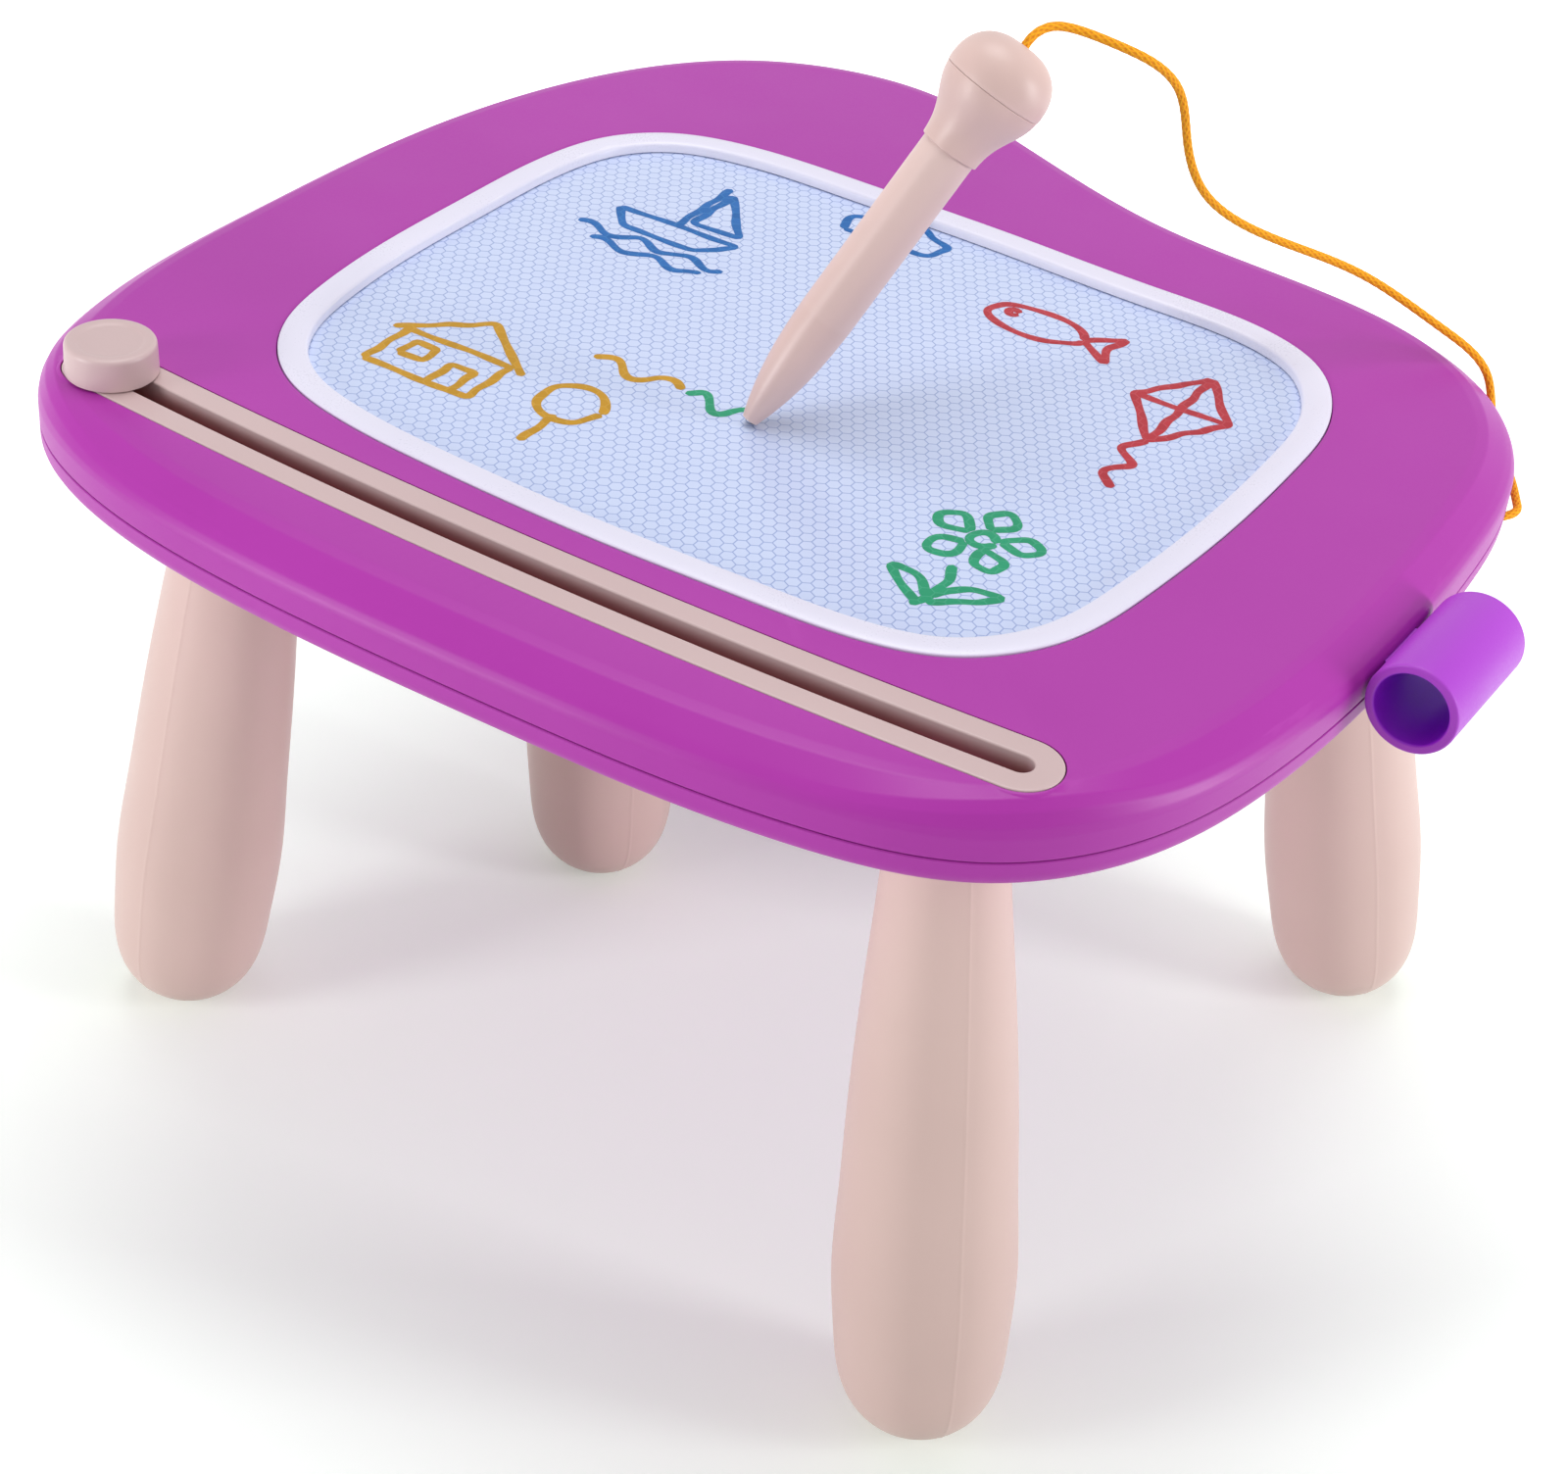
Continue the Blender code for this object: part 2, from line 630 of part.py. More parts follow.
def make_top_shell(plan, finishes, board):
    """The upper half of the case: rim, flat top, screen opening with its ledge, and track pad."""
    ledge_top, ledge_bottom = stack_drops()["ledge"]
    seam = SEAM_DROP - FIT_GAP / 2
    outer = rim_profile()
    inner = offset_profile(outer, SHELL_WALL)[::2]
    plate = inner[0][1]
    rings = [plan.screen_ring(0, 0)]
    rings += [plan.rim_ring(inset, drop) for inset, drop in outer]
    rings += [plan.rim_ring(0, seam), plan.rim_ring(SHELL_WALL, seam)]
    rings += [plan.rim_ring(inset, drop) for inset, drop in inner[::-1]]
    rings += [plan.screen_ring(OPENING_WALL, plate), plan.screen_ring(OPENING_WALL, ledge_bottom)]
    rings += [plan.screen_ring(-LEDGE_WIDTH, ledge_bottom), plan.screen_ring(-LEDGE_WIDTH, ledge_top)]
    rings += [plan.screen_ring(0, ledge_top)]
    shell = add_object("top_shell", skinned(rings, looped=True), finishes["violet"], board)

    rows = [(TRACK_HALF_WIDTH + PAD_SPREAD * out, PAD_DROP * down) for out, down in PAD_SHARES]
    pad = [pill_ring(*row) for row in rows]
    work(shell, "track_pad", skinned(pad), "UNION")
    boss_top = plate - SINK
    boss_bottom = SCREW_COLUMN_TOP - FIT_GAP
    places = screw_places(plan)
    bosses = [rod(place, SCREW_BOSS_RADIUS, -boss_bottom, -boss_top, SCREW_SIDES) for place in places]
    work(shell, "screw_bosses", joined(bosses), "UNION")

    pocket_floor = TRACK_THICKNESS - TRACK_PROUD + FIT_GAP
    pocket = [pill_ring(TRACK_HALF_WIDTH + FIT_GAP, drop) for drop in (-CUT_OVERRUN, pocket_floor)]
    work(shell, "track_pocket", skinned(pocket), "DIFFERENCE")
    lip = SLOT_HALF_WIDTH + LIP_THICKNESS + FIT_GAP
    passage = [pill_ring(lip, drop) for drop in (-CUT_OVERRUN, PAD_DROP + CUT_OVERRUN)]
    work(shell, "track_passage", skinned(passage), "DIFFERENCE")
    pilot_top = SCREW_COLUMN_TOP + SCREW_WEB - SCREW_LENGTH - SCREW_SPARE
    pilot = SCREW_RADIUS + FIT_GAP
    pilots = [rod(place, pilot, -boss_bottom - CUT_OVERRUN, -pilot_top, SCREW_SIDES) for place in places]
    work(shell, "screw_pilots", joined(pilots), "DIFFERENCE")

    reach = NECK_WIDTH / 2 + FIT_GAP
    tall = NECK_HEIGHT / 2 + FIT_GAP
    slot = block((-NECK_REACH - CUT_OVERRUN, -reach, NECK_LIFT - tall), (0, reach, NECK_LIFT + tall))
    work(shell, "holder_slot", slot, "DIFFERENCE", holder_frame(plan))
    return shell


def foot_round(radius, bottom):
    """A quarter round in rows of inset and drop, from the underside up to the side."""
    rows = []
    for turn in np.linspace(0, 90, ROUND_STEPS + 1):
        up, out = bow(radius, turn)
        rows.append((FOOT_ROUND - out, bottom - radius + up))
    return rows


def make_bottom_shell(plan, finishes, board):
    """The lower half of the case: side, floor, leg sockets, screw columns and eraser guide."""
    seam = SEAM_DROP + FIT_GAP / 2
    tongue_top = seam - TONGUE_RISE
    tongue_out = SHELL_WALL + FIT_GAP
    tongue_in = tongue_out + TONGUE_THICKNESS
    root = seam + TONGUE_ROOT
    floor_top = BOARD_THICKNESS - SHELL_WALL
    outside = [(FLOOR_EDGE, BOARD_THICKNESS)] + foot_round(FOOT_ROUND, BOARD_THICKNESS)
    lips = [
        (0, seam), (tongue_out, seam), (tongue_out, tongue_top), (tongue_in, tongue_top),
        (tongue_in, root), (SHELL_WALL, root + TONGUE_SLOPE),
    ]
    inside = foot_round(FOOT_ROUND - SHELL_WALL, floor_top)[::-1] + [(FLOOR_EDGE, floor_top)]
    rings = [plan.rim_ring(*row) for row in outside + lips + inside]
    shell = add_object("bottom_shell", skinned(rings), finishes["violet"], board)

    floor_low = floor_top + SINK
    places = screw_places(plan)
    top = -SCREW_COLUMN_TOP
    columns = [rod(place, SCREW_COLUMN_RADIUS, -floor_low, top, COLUMN_SIDES) for place in places]
    work(shell, "screw_columns", joined(columns), "UNION")
    sockets, bores = [], []
    for name in LEG_PLACE_SHARES:
        _, crown, axis = leg_axis(name)
        bottom = -SOCKET_REACH / axis.z
        bore = PLUG_RADIUS + FIT_GAP
        sockets.append(slanted_rod(crown, axis, SOCKET_RADIUS, bottom, SOCKET_ROOF_DROP, SOCKET_SIDES))
        ceiling = SOCKET_ROOF_DROP + SOCKET_ROOF
        bores.append(slanted_rod(crown, axis, bore, bottom - CUT_OVERRUN, ceiling, SOCKET_SIDES))
    work(shell, "leg_sockets", joined(sockets), "UNION")
    work(shell, "eraser_guide", guide_rib(floor_low), "UNION")
    work(shell, "leg_bores", joined(bores), "DIFFERENCE")

    recess_top = SCREW_COLUMN_TOP + SCREW_WEB
    through = SCREW_RADIUS + FIT_GAP
    low = -BOARD_THICKNESS - CUT_OVERRUN
    recesses = [rod(place, SCREW_RECESS_RADIUS, low, -recess_top, COLUMN_SIDES) for place in places]
    holes = [rod(place, through, low, CUT_OVERRUN - SCREW_COLUMN_TOP, SCREW_SIDES) for place in places]
    work(shell, "screw_recesses", joined(recesses), "DIFFERENCE")
    work(shell, "screw_holes", joined(holes), "DIFFERENCE")

    mouth, out = cord_mouth(plan)
    ends = (mouth + out * CUT_OVERRUN, mouth - out * (CORD_KNOT_RADIUS + SHELL_WALL))
    hole = skinned([circle_ring(end, CORD_HOLE_RADIUS, KNOT_SIDES, out) for end in ends])
    work(shell, "cord_hole", hole, "DIFFERENCE")
    return shell


def cord_mouth(plan):
    """Where the cord enters the lower shell's side, and the hole's outward direction."""
    point, normal = plan.edge_place(CORD_HOLE_SHARE, 0)
    out = Matrix.Rotation(math.radians(CORD_HOLE_TURN), 3, "Z") @ Vector((*normal, 0))
    return Vector((*point, -CORD_HOLE_DROP)), out.normalized()


def bar_drops():
    """How far below the top the eraser's carriage, bar and magnet strip lie."""
    carriage_top = LIP_DROP + FIT_GAP
    bar_top = carriage_top + CARRIAGE_THICKNESS + FIT_GAP
    return carriage_top, bar_top, bar_top + BAR_THICKNESS


def guide_rib(foot_drop):
    """The arc-shaped rib of the lower shell that carries the eraser bar's far end."""
    top = bar_drops()[2] + FIT_GAP
    radius = ARC_RADIUS - BAR_REACH + GUIDE_SHORTFALL
    start, end = TRACK_START - GUIDE_OVERLAP, TRACK_START + TRACK_TRAVEL + GUIDE_OVERLAP
    rings = []
    for angle in np.linspace(start, end, GUIDE_STEPS):
        near = arc_place(radius + GUIDE_THICKNESS / 2, angle)
        far = arc_place(radius - GUIDE_THICKNESS / 2, angle)
        rings.append([(*near, -foot_drop), (*far, -foot_drop), (*far, -top), (*near, -top)])
    return skinned(rings)


def make_screen(plan, finishes, board):
    """The pale ring and the sandwich under it."""
    drop = BEZEL_SEAT_DROP
    rings = [plan.screen_ring(-FIT_GAP, drop), plan.screen_ring(-FIT_GAP, -BEZEL_SIDE_LIP)]
    for across, crown in BEZEL_CROWN_SHARES:
        height = BEZEL_SIDE_LIP + BEZEL_CROWN * crown
        rings.append(plan.screen_ring(-FIT_GAP - BEZEL_FACE * across, -height))
    rings.append(plan.screen_ring(-FIT_GAP - BEZEL_FACE, drop))
    add_object("screen_bezel", skinned(rings, looped=True), finishes["lilac"], board)
    drops = stack_drops()
    materials = {"screen_film": "film", "honeycomb_core": "cells", "screen_back_film": "film"}
    for name, material in materials.items():
        plate = [plan.screen_ring(-FILM_EDGE_GAP, level) for level in drops[name]]
        add_object(name, skinned(plate), finishes[material], board)


def make_track(finishes, board):
    """The pale insert that lines the slot, with a lip down through the case."""
    outer, lip, slot = TRACK_HALF_WIDTH, SLOT_HALF_WIDTH + LIP_THICKNESS, SLOT_HALF_WIDTH
    bottom = TRACK_THICKNESS - TRACK_PROUD
    rows = (
        (outer, bottom), (outer, TRACK_CHAMFER - TRACK_PROUD), (outer - TRACK_CHAMFER, -TRACK_PROUD),
        (slot + TRACK_CHAMFER, -TRACK_PROUD), (slot, TRACK_CHAMFER - TRACK_PROUD), (slot, LIP_DROP),
        (lip, LIP_DROP), (lip, bottom),
    )
    insert = skinned([pill_ring(*row) for row in rows], looped=True)
    add_object("slider_track", insert, finishes["dusky"], board)


def long_plate(half_width, start, end, top, bottom, round_ends):
    """A plate along the eraser's radius, from the stem toward the far centre."""
    outline = []
    steps = BAR_END_STEPS if round_ends else 1
    for place, first in ((start, 180), (end, 0)):
        for step in range(steps + 1):
            across, along = bow(half_width, first + 180 * step / steps)
            bulge = along if round_ends else 0
            outline.append((across, place + bulge - ARC_RADIUS))
    return skinned([[(x, y, -drop) for x, y in outline] for drop in (top, bottom)])


def make_eraser(finishes, board):
    """The knob, its carriage and screw, and the bar with its magnet strip, on the arc's centre."""
    pivot = Matrix.Translation((ARC_SETOVER, TRACK_SETBACK + ARC_RADIUS, 0))
    arm = add_frame("eraser_pivot", board, pivot @ Matrix.Rotation(math.radians(TRACK_START), 4, "Z"))
    stem_place = Matrix.Translation((0, -ARC_RADIUS, 0))
    carriage_top, bar_top, bar_bottom = bar_drops()
    pilot = KNOB_SCREW_RADIUS + FIT_GAP

    low = TRACK_PROUD + FIT_GAP
    high = low + KNOB_HEIGHT
    screw_top = KNOB_SCREW_LENGTH - bar_bottom + KNOB_SCREW_HEAD
    shoulder = KNOB_RADIUS - KNOB_DRAFT - KNOB_EDGE
    knob = [(pilot, -LIP_DROP), (STEM_RADIUS, -LIP_DROP), (STEM_RADIUS, low), (KNOB_RADIUS, low)]
    for turn in KNOB_EDGE_STEPS:
        out, up = bow(KNOB_EDGE, turn)
        knob.append((shoulder + out, high - KNOB_EDGE + up))
    dish = high - KNOB_DISH_DEPTH
    knob += [(KNOB_DISH_RADIUS, high), (KNOB_DISH_RADIUS - KNOB_DISH_DEPTH, dish), (0, dish)]
    bore = [(0, screw_top + FIT_GAP), (pilot, screw_top + FIT_GAP)]
    add_object("eraser_knob", turned(bore + knob, KNOB_SIDES), finishes["dusky"], arm, stem_place)

    shoe = turned([
        (pilot, -carriage_top), (CARRIAGE_RADIUS, -carriage_top),
        (CARRIAGE_RADIUS, FIT_GAP - bar_top), (pilot, FIT_GAP - bar_top),
    ], CARRIAGE_SIDES, looped=True)
    add_object("eraser_carriage", shoe, finishes["dusky"], arm, stem_place)

    bar = long_plate(BAR_HALF_WIDTH, 0, BAR_REACH, bar_top, bar_bottom, True)
    bar = add_object("eraser_bar", bar, finishes["lilac"], arm)
    hole = rod((0, -ARC_RADIUS), pilot, -bar_bottom - CUT_OVERRUN, CUT_OVERRUN - bar_top, SCREW_SIDES)
    work(bar, "bar_hole", hole, "DIFFERENCE")
    head, wide = KNOB_SCREW_HEAD + FIT_GAP, KNOB_SCREW_HEAD_RADIUS + FIT_GAP
    recess = rod((0, -ARC_RADIUS), wide, -bar_bottom - CUT_OVERRUN, head - bar_bottom, COLUMN_SIDES)
    work(bar, "bar_recess", recess, "DIFFERENCE")
    seat, end = bar_top - FIT_GAP, BAR_REACH - STRIP_SHORTFALL
    strip = long_plate(STRIP_HALF_WIDTH, STRIP_START, end, seat - STRIP_THICKNESS, seat, False)
    add_object("eraser_magnet_strip", strip, finishes["magnet"], arm)

    screw = [
        (0, -bar_bottom), (KNOB_SCREW_HEAD_RADIUS, -bar_bottom),
        (KNOB_SCREW_HEAD_RADIUS, KNOB_SCREW_HEAD - bar_bottom),
        (KNOB_SCREW_RADIUS, KNOB_SCREW_HEAD - bar_bottom), (KNOB_SCREW_RADIUS, screw_top), (0, screw_top),
    ]
    add_object("knob_screw", turned(screw, SCREW_SIDES), finishes["steel"], arm, stem_place)


def make_case_screws(plan, finishes, board):
    """The screws that close the case from below."""
    head_top = SCREW_COLUMN_TOP + SCREW_WEB + FIT_GAP
    tip = SCREW_LENGTH - head_top
    screw = [
        (0, -head_top - SCREW_HEAD), (SCREW_HEAD_RADIUS, -head_top - SCREW_HEAD),
        (SCREW_HEAD_RADIUS, -head_top), (SCREW_RADIUS, -head_top), (SCREW_RADIUS, tip), (0, tip),
    ]
    for number, place in enumerate(screw_places(plan), start=1):
        at = Matrix.Translation((*place, 0))
        add_object(f"case_screw_{number}", turned(screw, SCREW_SIDES), finishes["steel"], board, at)


def make_legs(finishes, board):
    """Four hollow club legs, each on its own axis with its origin at its shoulder."""
    for name in LEG_PLACE_SHARES:
        ball, crown, axis = leg_axis(name)
        shoulder = crown - axis * ((SOCKET_REACH + FIT_GAP) / axis.z)
        span = (shoulder - ball).length
        inside = LEG_BALL_RADIUS - LEG_WALL
        round_foot = [bow(LEG_BALL_RADIUS, turn) for turn in LEG_BALL_STEPS]
        round_hollow = [bow(inside, turn) for turn in LEG_BALL_STEPS[::2]]
        outer = [(0, -span - LEG_BALL_RADIUS)] + [(out, -span + up) for out, up in round_foot]
        outer += [(LEG_RADIUS * wide, span * (share - 1)) for share, wide in LEG_SHARES]
        plug = [
            (PLUG_RADIUS, 0), (PLUG_RADIUS, PLUG_LENGTH - PLUG_CHAMFER),
            (PLUG_RADIUS - PLUG_CHAMFER, PLUG_LENGTH), (PLUG_RADIUS - LEG_WALL, PLUG_LENGTH),
        ]
        hollow = [(PLUG_RADIUS - LEG_WALL, -LEG_WALL)]
        inner_shares = LEG_SHARES[-2::-2]
        hollow += [(LEG_RADIUS * wide - LEG_WALL, span * (share - 1)) for share, wide in inner_shares]
        hollow += [(out, -span + up) for out, up in round_hollow[::-1]] + [(0, -span - inside)]
        turn = Vector((0, 0, 1)).rotation_difference(axis).to_matrix().to_4x4()
        shape = turned(outer + plug + hollow, LEG_SIDES)
        leg = add_object(name, shape, finishes["pink"], board, Matrix.Translation(shoulder) @ turn)
        reach = Vector((LEG_RADIUS, LEG_RADIUS, 0))
        ground = Vector((ball.x, ball.y, -BOARD_HEIGHT))
        under = block(ground - reach - Vector((0, 0, LEG_RADIUS)), ground + reach)
        work(leg, name + "_sole", under, "DIFFERENCE")


def make_pen_holder(plan, finishes, board):
    """The open tube for the pen, with a flat neck that snaps through the top shell's side."""
    edge = HOLDER_EDGE
    half = HOLDER_LENGTH / 2
    section = [
        (HOLDER_BORE_RADIUS, edge - half), (HOLDER_BORE_RADIUS + edge, -half),
        (HOLDER_RADIUS - edge, -half), (HOLDER_RADIUS, edge - half),
        (HOLDER_RADIUS, half - edge), (HOLDER_RADIUS - edge, half),
        (HOLDER_BORE_RADIUS + edge, half), (HOLDER_BORE_RADIUS, half - edge),
    ]
    tube = turned(section, HOLDER_SIDES, looped=True)
    bmesh.ops.rotate(tube, matrix=Matrix.Rotation(math.radians(-90), 3, "X"), verts=tube.verts)
    holder = add_object("pen_holder", tube, finishes["holder"], board, holder_frame(plan))
    width, tall = NECK_WIDTH / 2, NECK_HEIGHT / 2
    root = -HOLDER_BORE_RADIUS - NECK_SINK
    seat = -HOLDER_RADIUS - HOLDER_CLEARANCE - SHELL_WALL - BARB_GAP
    side = [(root, width), (seat, width), (seat, width + BARB_WIDTH), (-NECK_REACH, width)]
    neck = side + [(x, -y) for x, y in side[::-1]]
    rings = [[(x, y, NECK_LIFT + lift) for x, y in neck] for lift in (-tall, tall)]
    work(holder, "holder_neck", skinned(rings), "UNION", holder_frame(plan))
    return holder


def pen_matrix():
    """The pen's frame in the board's: its tip ball's centre, with Z up the pen."""
    film_top = stack_drops()["screen_film"][0]
    tip = Matrix.Translation((*PEN_TIP_PLACE, TIP_BALL_RADIUS + FIT_GAP - film_top))
    heading = Matrix.Rotation(math.radians(PEN_HEADING), 4, "Z")
    lean = Matrix.Rotation(math.radians(PEN_LEAN), 4, "Y")
    return tip @ heading @ lean @ Matrix.Rotation(math.radians(PEN_ROLL), 4, "Z")


def exit_direction():
    """Where the cord leaves the cap, in the pen's frame."""
    tilt = math.radians(CORD_EXIT_TILT)
    return Vector((math.sin(tilt), 0, math.cos(tilt)))


def make_pen(finishes, board):
    """The pen: hollow barrel with its tip ball and magnet, collar and domed cap."""
    pen = add_frame("pen_frame", board, pen_matrix())
    seat = TIP_BALL_RADIUS + FIT_GAP
    tip = TIP_BALL_SHOWS - TIP_BALL_RADIUS
    nose_radius = seat + TIP_RIM
    nose = [(nose_radius + (BARREL_RADIUS - nose_radius) * grow, tip + (BARREL_TAPER - tip) * share)
            for share, grow in NOSE_SHARES]
    snug = MAGNET_RADIUS + FIT_GAP
    barrel = [(0, seat), (seat, seat), (seat, tip)] + nose + [
        (BARREL_RADIUS, BARREL_TOP), (BARREL_BORE_RADIUS, BARREL_TOP),
        (BARREL_BORE_RADIUS, BARREL_BORE_FLOOR), (snug, BARREL_BORE_FLOOR),
        (snug, MAGNET_FLOOR), (0, MAGNET_FLOOR),
    ]
    add_object("pen_barrel", turned(barrel, PEN_SIDES), finishes["pink"], pen)
    ball = turned(ball_profile(TIP_BALL_RADIUS), KNOT_SIDES)
    add_object("pen_tip_ball", ball, finishes["steel"], pen)
    low = MAGNET_FLOOR + FIT_GAP
    high = low + MAGNET_LENGTH
    magnet = [(0, low), (MAGNET_RADIUS, low), (MAGNET_RADIUS, high), (0, high)]
    add_object("pen_magnet", turned(magnet, KNOT_SIDES), finishes["magnet"], pen)

    sleeve = BARREL_RADIUS + FIT_GAP
    web = BARREL_TOP + FIT_GAP
    middle = (COLLAR_BASE + COLLAR_TOP) / 2
    middle_radius = (COLLAR_BASE_RADIUS + COLLAR_TOP_RADIUS) / 2 - COLLAR_BULGE
    collar = [
        (0, web), (sleeve, web), (sleeve, COLLAR_BASE), (COLLAR_BASE_RADIUS, COLLAR_BASE),
        (middle_radius, middle), (COLLAR_TOP_RADIUS, COLLAR_TOP),
        (COLLAR_TOP_RADIUS - COLLAR_WALL, COLLAR_TOP),
        (middle_radius - COLLAR_WALL, web + COLLAR_WEB), (0, web + COLLAR_WEB),
    ]
    add_object("pen_collar", turned(collar, PEN_SIDES), finishes["pink"], pen)

    base = COLLAR_TOP + FIT_GAP
    centre = base + DOME_BAND
    dome = [(DOME_RADIUS, base)]
    for turn in DOME_STEPS:
        angle = math.radians(turn)
        dome.append((DOME_RADIUS * math.cos(angle), centre + (DOME_HEIGHT - DOME_BAND) * math.sin(angle)))
    inner_radius, inner_height = DOME_RADIUS - DOME_WALL, DOME_HEIGHT - DOME_BAND - DOME_WALL
    cavity = [(inner_radius, base)]
    for turn in DOME_STEPS[::2]:
        angle = math.radians(turn)
        cavity.append((inner_radius * math.cos(angle), centre + inner_height * math.sin(angle)))
    crown = [(0, centre + DOME_HEIGHT - DOME_BAND), (0, centre + inner_height)]
    cap = turned(dome + crown + cavity[::-1], PEN_SIDES, looped=True)
    cap = add_object("pen_cap", cap, finishes["pink"], pen)
    out = exit_direction()
    root = Vector((0, 0, COLLAR_TOP))
    ends = (root + out * PEN_KNOT_REACH, root + out * (DOME_HEIGHT + CUT_OVERRUN))
    hole = skinned([circle_ring(end, CORD_HOLE_RADIUS, KNOT_SIDES, out) for end in ends])
    work(cap, "cap_hole", hole, "DIFFERENCE")
    return pen


def make_knot(name, centre, finishes, parent):
    """A cord's knot, drawn as a small ball."""
    ball = turned(ball_profile(CORD_KNOT_RADIUS), KNOT_SIDES)
    return add_object(name, ball, finishes["cord"], parent, Matrix.Translation(centre))


def make_cord(plan, finishes, board, pen):
    """The cord between the pen and the case, and a knot at each end of it."""
    points = smooth_curve(CORD_ROUTE, False, CORD_POINTS)
    curve = bpy.data.curves.new("pen_cord", "CURVE")
    curve.dimensions = "3D"
    curve.bevel_depth = CORD_RADIUS
    curve.bevel_resolution = 2
    curve.use_fill_caps = True
    spline = curve.splines.new("POLY")
    spline.points.add(len(points) - 1)
    for vertex, point in zip(spline.points, points):
        vertex.co = (*point, 1)
    curve.materials.append(finishes["cord"])
    cord = bpy.data.objects.new("pen_cord", curve)
    bpy.context.scene.collection.objects.link(cord)
    cord.parent = board
    knot = Vector((0, 0, COLLAR_TOP)) + exit_direction() * PEN_KNOT_REACH
    knots = [cord, make_knot("cord_knot_pen", knot, finishes, pen)]
    mouth, out = cord_mouth(plan)
    inside = (SHELL_WALL + FIT_GAP + CORD_KNOT_RADIUS) / math.cos(math.radians(CORD_HOLE_TURN))
    knots.append(make_knot("cord_knot_board", mouth - out * inside, finishes, board))
    return knots


def centre_over_floor(board, cords):
    """Move the whole so that its box without the cord stands over the world's origin."""
    bpy.context.view_layer.update()
    graph = bpy.context.evaluated_depsgraph_get()
    low, high = np.full(3, np.inf), np.full(3, -np.inf)
    for item in bpy.context.scene.objects:
        if item.type != "MESH" or item.hide_render or item in cords:
            continue
        solid = item.evaluated_get(graph)
        places = np.array([solid.matrix_world @ vertex.co for vertex in solid.data.vertices])
        low, high = np.minimum(low, places.min(0)), np.maximum(high, places.max(0))
    middle = (low + high) / 2
    board.location.x -= middle[0]
    board.location.y -= middle[1]


def main():
    """Build the whole model."""
    for item in list(bpy.data.objects):
        bpy.data.objects.remove(item, do_unlink=True)
    finishes = make_finishes()
    plan = Plan()
    board = add_frame("board_frame", matrix=Matrix.Translation((0, 0, BOARD_HEIGHT)))
    make_top_shell(plan, finishes, board)
    make_bottom_shell(plan, finishes, board)
    make_screen(plan, finishes, board)
    make_track(finishes, board)
    make_eraser(finishes, board)
    make_case_screws(plan, finishes, board)
    make_legs(finishes, board)
    make_pen_holder(plan, finishes, board)
    pen = make_pen(finishes, board)
    cords = make_cord(plan, finishes, board, pen)
    centre_over_floor(board, cords)


main()
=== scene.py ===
"""The finished look of a child's magnetic drawing board on four club-shaped legs.

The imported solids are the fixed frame. Each visible piece is made again here as a fine surface
in the same place: the two shells of the case, the screen's ring, the eraser's track and knob,
the legs, the pen, its tube and its braided cord. Lengths are in metres. Shapes are worked out
in the board's frame (X to the right, Y to the back, Z up from the flat top) and then moved to
the place where the board stands.
"""

import logging
import math
from collections.abc import Sequence
from dataclasses import dataclass, field, replace
from enum import Enum

import bpy
import numpy as np
from mathutils import Matrix, Vector


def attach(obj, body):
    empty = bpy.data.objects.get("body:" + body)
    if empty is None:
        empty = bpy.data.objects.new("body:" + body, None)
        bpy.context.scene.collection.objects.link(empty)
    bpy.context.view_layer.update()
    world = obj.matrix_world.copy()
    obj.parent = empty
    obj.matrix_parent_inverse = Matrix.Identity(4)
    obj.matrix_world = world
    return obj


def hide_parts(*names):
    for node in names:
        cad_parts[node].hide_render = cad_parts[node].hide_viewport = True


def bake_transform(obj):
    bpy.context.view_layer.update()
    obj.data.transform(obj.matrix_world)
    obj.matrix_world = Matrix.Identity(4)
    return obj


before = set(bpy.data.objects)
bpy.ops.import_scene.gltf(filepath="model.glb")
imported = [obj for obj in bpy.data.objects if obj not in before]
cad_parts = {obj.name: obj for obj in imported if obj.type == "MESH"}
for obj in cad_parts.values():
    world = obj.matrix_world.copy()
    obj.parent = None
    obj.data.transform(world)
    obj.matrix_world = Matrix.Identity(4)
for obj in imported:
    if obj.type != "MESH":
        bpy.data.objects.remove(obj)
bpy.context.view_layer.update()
log = logging.getLogger("drawing_board")

FULL_TURN = 2 * math.pi
QUARTER_TURN = math.pi / 2
MM_IN_METRE = 1000

# Sizes that several classes share: the clearance between fitted parts, how far a cutting shape
# runs past what it cuts, the board's place in the frame and its case, and the cord's braid.
FIT_GAP = 0.0003
OVERRUN = 0.004
BOARD_HEIGHT = 0.245
BOARD_ORIGIN = np.array([-0.014327, 0.000641, BOARD_HEIGHT])
CASE_THICKNESS = 0.025
CASE_WALL = 0.0022
BRAID_STRANDS = 6
BRAID_LAY = 0.003

# Fineness: the radius under which a ring is a pole, the angle over which an edge stays sharp,
# the sides of turned pieces and of helper rods, and the points of a drawn line.
POLE = 1e-9
SOFT_EDGE = math.radians(32)
FINE_SIDES = 96
ROD_SIDES = 32
LINE_POINTS = 40

# The finishes' shared values: the ranges that noise, painted edge highlights and gaps are read
# over, the scales of the patterns, and the shares that turn a drawn line's colour into its paler
# and deeper one.
TINT_RANGE, HIGHLIGHT_RANGE, GRAIN_RANGE = (0.35, 0.7), (0.51, 0.58), (0.12, 0.4)
GAP_RANGE, GAP_SHADE = (-0.2, 0.7), (0.7, 0.0)
TINT_SCALE, PATCH_SCALE = 9.0, 40.0
HALF_CELL = (0.5, math.sqrt(3) / 2, 0.5)
CELL_SNAP = (0.25, 0.25, 1)
FIBRE_STRETCH, FIBRE_SHARE = (60, 4000, 1), 0.3
PALER, DEEPER = 0.25, 0.9
BUMP_DEPTH = 0.0002
COAT_ROUGHNESS = 0.12
WHITE = (1, 1, 1, 1)

